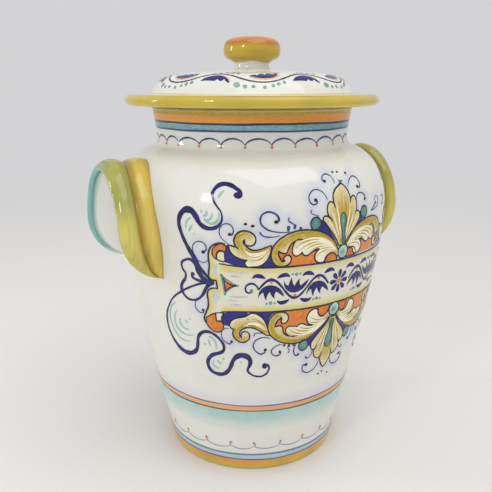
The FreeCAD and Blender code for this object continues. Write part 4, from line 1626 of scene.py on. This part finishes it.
# %% Turquoise dashes
dashes = Coat(on_jar, 0.12, 46)
dash_lines = [
    [(-119.5, 135), (-125, 130), (-127.5, 122), (-126, 114), (-121, 108), (-116, 106.5), (-111, 107.5)],
    [(-119.5, 129), (-123, 122), (-121.5, 115), (-116, 112), (-108, 112.5)],
    [(-117.5, 123.5), (-118, 119), (-115, 116.5), (-111, 116.5)], [(-113.4, 123), (-111.5, 121)],
    [(-109.4, 124.6), (-108.6, 124)], [(-101.5, 194.5), (-104.5, 191), (-105, 187.5)],
    [(-100.5, 190), (-103, 185.5)],
    [(-99.8, 184.8), (-99.2, 184.2)], [(-92.4, 194.8), (-88.5, 191.6), (-84.4, 193), (-83.4, 198)],
    [(-91.4, 198.8), (-91, 197), (-93.4, 196.2)], [(-87.6, 198), (-88, 195), (-91, 193.6)],
    [(-94.8, 199.4), (-94.2, 198)],
    [(-80.5, 211), (-82.4, 209.6), (-84, 207)], [(-95, 113.5), (-91, 111), (-90, 107), (-90.5, 104)],
    [(-96, 111), (-94.5, 106)], [(-99.2, 108), (-98.8, 106.4)], [(-93, 95), (-94, 92), (-89, 89.5)],
    [(-90, 96), (-89, 94), (-86.6, 93.4)], [(-85.6, 98), (-84.6, 96.6)], [(-72.2, 95.8), (-71, 95.2)]]
for line in dash_lines:
    for points in (line, mirrored(line, **RIGHT_SIDE)):
        dashes.stroke(points, [0.9, 1.5, 1.5, 0.8], 0.5, 0.2)
dashes.finish("turquoise_dashes", turquoise, "jar", "body_glaze")

# %% [markdown]
# The banner's field carries a running vine, a border that painters of this kind of ware have used
# for centuries. It's the vine of the lid, drawn larger: a wavy stem with a lobed leaf in the hollow
# of each wave, commas along its back, and a rosette in the middle where the two halves meet.

# %% Marks of the vine
WAVES_PER_SIDE = 3
vine = Coat(on_jar, 0.2, 47)
vine_dots = Coat(on_jar, 0.26, 49)
vine_orange = Coat(on_jar, 0.26, 50)
VINE_MIDDLE = 149.3
VINE_RISE = 6.8
VINE_HALF_WAVE = 16.5
vine_start = 9.5


def vine_mark(points, centre, flip, side):
    """Points drawn beside one wave, moved to their place on the banner."""
    return [(side * (centre + point[0]), VINE_MIDDLE + flip * point[1], *point[2:]) for point in points]


hollow_leaf = [
    (-8.2, -4.6, TIP), (-6.6, -1.2), (-3.4, 1.6), (0.6, 2.6), (4.6, 1.4), (7, -1.4), (7.4, -5, TIP),
    (6.2, -2.6), (4.6, -1.6, TIP), (3.8, -4.4), (2.6, -6.6, TIP), (2, -3.2), (0.6, -1.2, TIP), (-0.8, -4),
    (-2.6, -5.6, TIP), (-2.2, -3), (-3.2, -1.2, TIP), (-5.2, -2.6)]
hollow_leaf = [(point[0] * 1.1, point[1] * 1.18, *point[2:]) for point in hollow_leaf]
comma = [(3.6, 7.4, TIP), (5.2, 9.7), (8.2, 10.9), (11.0, 10.2), (12.4, 7.6, TIP), (10.2, 8.3), (7.0, 7.9)]
small_dots = [((-2.7, -9.7), 0.8), ((0, -9.3), 1.2), ((2.7, -9.7), 0.8)]
end_curl = [(0, 0), (4, 4.4), (8, 2.4), (7.4, -1.6), (4.2, -1.6)]
print("lobed leaf:", len(hollow_leaf), "chosen points, comma:", len(comma))

# %% [markdown]
# Each half of the vine starts beside the middle of the banner and ends in a curl. The stem is a
# sine wave, so its hollows fall at even distances, and the leaf is turned over in every second one.

# %% The vine on the banner
for side in (-1, 1):
    stem = []
    for i in range(25):
        share = i / 8
        stem.append((side * (vine_start + VINE_HALF_WAVE * share),
                     VINE_MIDDLE + VINE_RISE * math.sin(math.pi * share)))
    vine.stroke(stem, [1.3, 1.9, 1.3, 1.9, 1.3, 1.9, 1.1], 0.95, 0.2)
    for wave in range(WAVES_PER_SIDE):
        centre = vine_start + VINE_HALF_WAVE * (wave + 0.5)
        flip = 1 if wave % 2 == 0 else -1
        vine.fill(vine_mark(hollow_leaf, centre, flip, side), 0.85, grain=1.4)
        for shape in (vine_mark(comma, centre, flip, side), vine_mark(mirrored(comma), centre, flip, side)):
            vine.fill(shape, 0.85, grain=1.4)
        for place, radius in small_dots:
            vine_dots.dot(vine_mark([place], centre, flip, side)[0], radius, 1.0, 0.6)
        vine_orange.dot(vine_mark([(0, 4.9)], centre, flip, side)[0], 1.0, 0.9, 0.6)
    end = side * (vine_start + VINE_HALF_WAVE * WAVES_PER_SIDE)
    curl = [(end + side * x, VINE_MIDDLE + z) for x, z in end_curl]
    vine.stroke(curl, [1.1, 1.4, 1.2, 0.9], 0.95, 0.2)
    vine_dots.dot((end + side * 4.4, VINE_MIDDLE - 0.6), 1.2, 1.0, 0.8)

# %% [markdown]
# A rosette of eight petals hides the place where the two halves meet. One petal is drawn along a
# direction and across it, and a loop turns the direction.

# %% The rosette
PETALS = 8
petal_rim = [(2.2, 0), (4.8, -1.4), (7, -1.5), (8.2, 0), (7, 1.5), (4.8, 1.4)]
for petal in range(PETALS):
    turn = 2 * math.pi * petal / PETALS
    out, across = Vector((math.cos(turn), math.sin(turn))), Vector((-math.sin(turn), math.cos(turn)))
    middle = Vector((0, VINE_MIDDLE))
    rim = [middle + out * reach + across * width for reach, width in petal_rim]
    vine.fill([tuple(p) for p in rim], 0.8, grain=1.2)
vine_orange.dot((0, VINE_MIDDLE), 1.9, 1.0, 0.6)
vine.finish("banner_vine", cobalt, "jar", "body_glaze")
vine_dots.finish("banner_vine_dots", teal, "jar", "body_glaze")
vine_orange.finish("banner_vine_hearts", orange, "jar", "body_glaze")

# %% [markdown]
# A small arrow of teal with an orange heart marks each end of the banner's field. Three broad
# strokes make it, and thin dark lines sharpen it afterwards.

# %% The mark at each end of the banner
arrow_teal = Coat(on_jar, 0.16, 51)
arrow_core = Coat(on_jar, 0.2, 52)
arrow_lines = Coat(on_jar, 0.27, 53)
for side in (1, -1):
    tip, high, low = (-71.5 * side, 152), (-83 * side, 159.6), (-81 * side, 145)
    arrow_teal.stroke([high, (-80.2 * side, 156), tip], [1.2, 2.4, 1.0], 0.8, 0.2)
    arrow_teal.stroke([low, (-79.6 * side, 148.6), tip], [1.0, 2.4, 1.0], 0.8, 0.2)
    arrow_teal.stroke([high, (-81.6 * side, 153), low], [1.2, 1.8, 1.2], 0.7, 0.2)
    core = [(-80.6 * side, 156.4, TIP), (-80.2 * side, 148.6, TIP), (-74 * side, 152, TIP)]
    arrow_core.fill(core if side == 1 else core[::-1], 0.6)
    for line in ([(-82 * side, 157.4), (-78.6 * side, 153.6), (-73 * side, 152.2)],
                 [(-80.4 * side, 147.4), (-77.6 * side, 150.6), (-73 * side, 152.2)],
                 [(-81 * side, 156), (-80.4 * side, 148)]):
        arrow_lines.stroke(line, [0.4, 0.8, 1.0], 0.9, 0.1)
arrow_teal.finish("end_marks_teal", teal, "jar", "body_glaze")
arrow_core.finish("end_marks_orange", orange, "jar", "body_glaze")
arrow_lines.finish("end_marks_lines", line_blue, "jar", "body_glaze")

# %% [markdown]
# On the lid the same vine runs round the dome in seven waves. A scalloped leaf fills each hollow
# on both sides, with a peach shadow behind it, and sea-green dots follow the line.

# %% The vine on the lid
WAVES = 7
wave_length = 2 * math.pi * DOME_ROUND / WAVES
first_dip = math.radians(5.8) * DOME_ROUND
lid_line = Coat(on_dome, 0.2, 61)
lid_leaves = Coat(on_dome, 0.2, 62)
lid_peach = Coat(on_dome, 0.12, 63)
lid_dots = Coat(on_dome, 0.2, 64)
outer_leaf = [
    (0, 0, TIP), (3, 3.5), (8, 5.8), (13, 5.5), (17.5, 2.5), (20, -1.8, TIP), (18.5, -1.2),
    (16, 2.2, TIP), (14.6, 0), (13.8, -0.2, TIP), (12.6, 0.6), (11.2, 1.8, TIP), (10.2, 0.2),
    (9.4, 0, TIP), (5, 0.3)]
outer_place = (-40.2, 10.0)
shadows = [([(-8.4, 14.4), (-4, 12.4), (0.8, 11.7), (6, 12.4), (10.4, 14.8), (12.6, 19)],
            [0.6, 1.0, 1.0, 1.0, 0.6]),
           ([(-33, 15.6), (-28, 16.4), (-23, 13.6), (-20.4, 9.6)], [0.5, 1.0, 1.1, 0.7])]
inner_leaf = [
    (-8.6, 15.2, TIP), (-4, 13.2), (0.6, 12.4), (5.4, 13), (9.6, 15.4), (11.8, 20, TIP), (10.2, 20.4),
    (8, 16.8, TIP), (5.8, 19.4), (3.8, 20, TIP), (1.8, 16.4, TIP), (0.6, 18.6), (-1.4, 18.8, TIP),
    (-3.4, 15.8, TIP), (-4.6, 17), (-6.4, 16.6)]
outer_dots = [
    (-15.7, 6.8, 1.6), (-10.7, 5.5, 1.0), (-5.8, 5.5, 1.0), (0.8, 5.0, 1.0), (5.8, 6.2, 0.9),
    (9.4, 7.5, 1.0), (13.1, 8.8, 1.0)]
inner_dots = [(-34, 19.4, 1.0), (-30, 21.4, 1.1), (-25.6, 22.6, 1.2), (-20.6, 21.8, 1.2), (-16.4, 19.8, 1.1)]
for wave in range(WAVES):
    shift = first_dip + wave * wave_length + lid_line.random.uniform(-0.5, 0.5)
    lid_leaves.fill([(x + shift + outer_place[0], d + outer_place[1], *tip) for x, d, *tip in outer_leaf],
                    0.7, 1.6)
    lid_leaves.fill([(x + shift, d, *tip) for x, d, *tip in inner_leaf], 0.7, 1.6)
    for points, widths in shadows:
        lid_peach.stroke([(x + shift, d) for x, d in points], widths, 0.5, 0.2)
    for x, d, radius in outer_dots + inner_dots:
        lid_dots.dot((x + shift, d), radius * lid_line.random.uniform(1.05, 1.35), 1.0, 0.6)
lid_wave = []
WAVE_STEPS = 16
for i in range(WAVES * WAVE_STEPS + 1):
    share = i / WAVE_STEPS
    depth = 13.4 - 5.0 * math.cos(2 * math.pi * share) + 0.5 * math.cos(4 * math.pi * share)
    lid_wave.append((first_dip + share * wave_length, depth))
lid_line.stroke(lid_wave, [1.0, 1.3] * WAVES + [1.0], 0.7, 0.15)
lid_line.finish("lid_vine", line_blue, "lid", "lid_glaze")
lid_leaves.finish("lid_leaves", cobalt, "lid", "lid_glaze")
lid_peach.finish("lid_peach_shadows", peach_line, "lid", "lid_glaze")
lid_dots.finish("lid_dots", teal, "lid", "lid_glaze")

# %% [markdown]
# Cobalt bleeds into a tin glaze, so a pale blue-grey breath surrounds the painting, and thin
# washes of turquoise and lavender lie by the lower bands. They have no edge that a coat could
# follow. Instead the jar's own points are measured, each for how near the painting is, and the
# white glaze takes up that much of the wash.

# %% Where the washes lie
HALO_REACH = 4.2
face_slack = 0.5
foot_edge = 1.5
turquoise_heights = [36.5, 40, 43, 46.5, 54, 55.5]
turquoise_amounts = [0, 0.35, 0.45, 0.85, 1, 0]
lavender_heights = [59, 60, 63, 69, 236, 242, 244, 246]
lavender_amounts = [0, 0.8, 0.5, 0, 0, 0.4, 0.7, 0]
halo_spots = banner.flat + leaf_fill.flat + cobalt_ground.flat + curl_fill.flat + teal_fill.flat
halo_spots += tendrils.flat[::6]
spots = KDTree(len(halo_spots))
for index, (x, z) in enumerate(halo_spots):
    spots.insert((x, z, 0), index)
spots.balance()
halo, turquoise_wash, lavender_wash = [], [], []
for point in jar.data.vertices:
    radius = math.hypot(point.co.x, point.co.y) / MM
    z = point.co.z / MM
    outside = abs(radius - face_radius(z)) < face_slack and z > foot_edge
    if not outside:
        halo.append(0.0)
        turquoise_wash.append(0.0)
        lavender_wash.append(0.0)
        continue
    angle = math.atan2(point.co.x, -point.co.y) - ORNAMENT_TURN
    angle = (angle + math.pi) % (2 * math.pi) - math.pi
    found = spots.find((angle * belly_radius, z, 0))
    halo.append(math.exp(-(found[2] / HALO_REACH) ** 2))
    turquoise_wash.append(float(np.interp(z, turquoise_heights, turquoise_amounts)))
    lavender_wash.append(float(np.interp(z, lavender_heights, lavender_amounts)))
for name, values in (("halo", halo), ("turquoise_wash", turquoise_wash), ("lavender_wash", lavender_wash)):
    stored = jar.data.attributes.new(name, "FLOAT", "POINT")
    stored.data.foreach_set("value", values)
print("points of the jar touched by the halo", sum(value > 0.05 for value in halo))

# %% [markdown]
# The jar's glaze starts as the zoned glaze of the other pieces. Each wash is then mixed over it,
# by the amount that a point keeps times a slow noise, so that the wash breathes as a brushed
# wash does.

# %% The washed glaze of the jar
BREATH_SIZE = 1 / 0.018
body_glaze, body_shader, body_colour, body_place = zoned_glaze("body_glaze", False, 0.12, 0.08)
breath = noise(body_glaze, body_place, BREATH_SIZE, 3.0)
washes = [("turquoise_wash", tint(160, 200, 196), 0.85, 0.25),
          ("lavender_wash", tint(206, 208, 228), 0.8, 0.2),
          ("halo", tint(196, 202, 222), 0.6, 0.6)]
for name, colour, strength, wobble in washes:
    broken = remap(body_glaze, breath, *NOISE_RANGE, 1 - wobble, 1 + wobble)
    amount = combine(body_glaze, "MULTIPLY", stored_value(body_glaze, name), broken)
    amount = combine(body_glaze, "MULTIPLY", amount, strength)
    held = add_node(body_glaze, "ShaderNodeClamp")
    link(body_glaze, amount, held.inputs["Value"])
    body_colour = blend_colours(body_glaze, held.outputs["Result"], body_colour, colour)
link(body_glaze, body_colour, body_shader.inputs["Base Color"])
jar.data.materials.append(body_glaze)
print("washes mixed over the white", len(washes))

# %% [markdown]
# The jar stands on a plain pale floor in soft light, seen from its left front and a little above.
# The camera's place and lens follow from the photograph: how the rims flatten gives the height,
# and how the foot narrows gives the distance.

# %% Camera
camera_left = 0.2315
camera_front = 0.3777
camera_height = 0.271
camera_pitch = 15.0
camera_data = bpy.data.cameras.new("camera")
camera_data.lens = 43.54
camera_data.sensor_width = 36.0
camera_data.shift_x = -0.0122
camera_data.clip_start = 0.01
camera = bpy.data.objects.new("camera", camera_data)
camera.location = (-camera_left, -camera_front, camera_height)
camera_turn = math.degrees(math.atan2(camera_left, camera_front))
camera.rotation_euler = (math.radians(90 - camera_pitch), 0, -math.radians(camera_turn))
bpy.context.scene.collection.objects.link(camera)
bpy.context.scene.camera = camera
print("the camera looks", round(camera_turn, 1), "degrees from the front")

# %% [markdown]
# The floor is pale and plain and keeps the jar's shadow. A hard horizon would cut the picture in
# two, so further out the floor fades into the light of the sky.

# %% Floor
SKY = tint(244, 244, 246)
SKY_STRENGTH = 0.72
FLOOR_REACH = 3
FADE_RANGE = (0.45, 1.5)
bpy.context.scene.view_settings.view_transform = "Standard"
floor_corners = [(x * FLOOR_REACH, y * FLOOR_REACH, 0) for x, y in ((-1, -1), (1, -1), (1, 1), (-1, 1))]
floor_mesh = bpy.data.meshes.new("floor")
floor_mesh.from_pydata(floor_corners, [], [(0, 1, 2, 3)])
floor = bpy.data.objects.new("floor", floor_mesh)
bpy.context.scene.collection.objects.link(floor)
floor_material = bpy.data.materials.new("floor")
floor_material.use_nodes = True
floor_shader = floor_material.node_tree.nodes["Principled BSDF"]
floor_shader.inputs["Base Color"].default_value = (*tint(230, 228, 224), 1)
floor_shader.inputs["Roughness"].default_value = 0.6
from_jar = add_node(floor_material, "ShaderNodeVectorMath", operation="LENGTH")
link(floor_material, add_node(floor_material, "ShaderNodeNewGeometry").outputs["Position"],
     from_jar.inputs[0])
far_floor = add_node(floor_material, "ShaderNodeEmission", {"Color": (*SKY, 1), "Strength": SKY_STRENGTH})
floor_fade = add_node(floor_material, "ShaderNodeMixShader")
fade = remap(floor_material, from_jar.outputs["Value"], *FADE_RANGE, 0, 1)
link(floor_material, fade, floor_fade.inputs[0])
link(floor_material, floor_shader.outputs["BSDF"], floor_fade.inputs[1])
link(floor_material, far_floor.outputs["Emission"], floor_fade.inputs[2])
link(floor_material, floor_fade.outputs["Shader"],
     floor_material.node_tree.nodes["Material Output"].inputs["Surface"])
floor.data.materials.append(floor_material)
print("the floor fades between", *FADE_RANGE, "metres from the jar")

# %% [markdown]
# An even pale sky lights the jar from all round, so that every colour shows about as it is
# written. Two small windows give the glaze its highlights, and a broad soft light from above
# shades the belly.

# %% Sky and lamps
LAMP_LEVEL = 0.77
lamp_target = Vector((0, 0, 0.17))
world = bpy.data.worlds.new("sky")
world.use_nodes = True
world.node_tree.nodes["Background"].inputs["Color"].default_value = (*SKY, 1)
world.node_tree.nodes["Background"].inputs["Strength"].default_value = SKY_STRENGTH
bpy.context.scene.world = world


def lamp(name, azimuth, elevation, distance, size, power):
    """An area lamp that faces the jar's middle, from a direction in degrees."""
    data = bpy.data.lights.new(name, "AREA")
    data.shape = "RECTANGLE"
    data.size, data.size_y = size
    data.energy = power * LAMP_LEVEL
    made = bpy.data.objects.new(name, data)
    a, e = math.radians(azimuth), math.radians(elevation)
    back = Vector((math.sin(a) * math.cos(e), -math.cos(a) * math.cos(e), math.sin(e)))
    made.location = lamp_target + back * distance
    made.rotation_euler = (-back).to_track_quat("-Z", "Y").to_euler()
    bpy.context.scene.collection.objects.link(made)


lamp("left_window", -121, 12, 1.3, (0.12, 0.36), 2.6)
lamp("front_window", -68, 22, 1.6, (0.22, 0.3), 4)
lamp("ceiling", 10, 68, 1.8, (1.6, 1.6), 20)
print("lamps", len(bpy.data.lights))
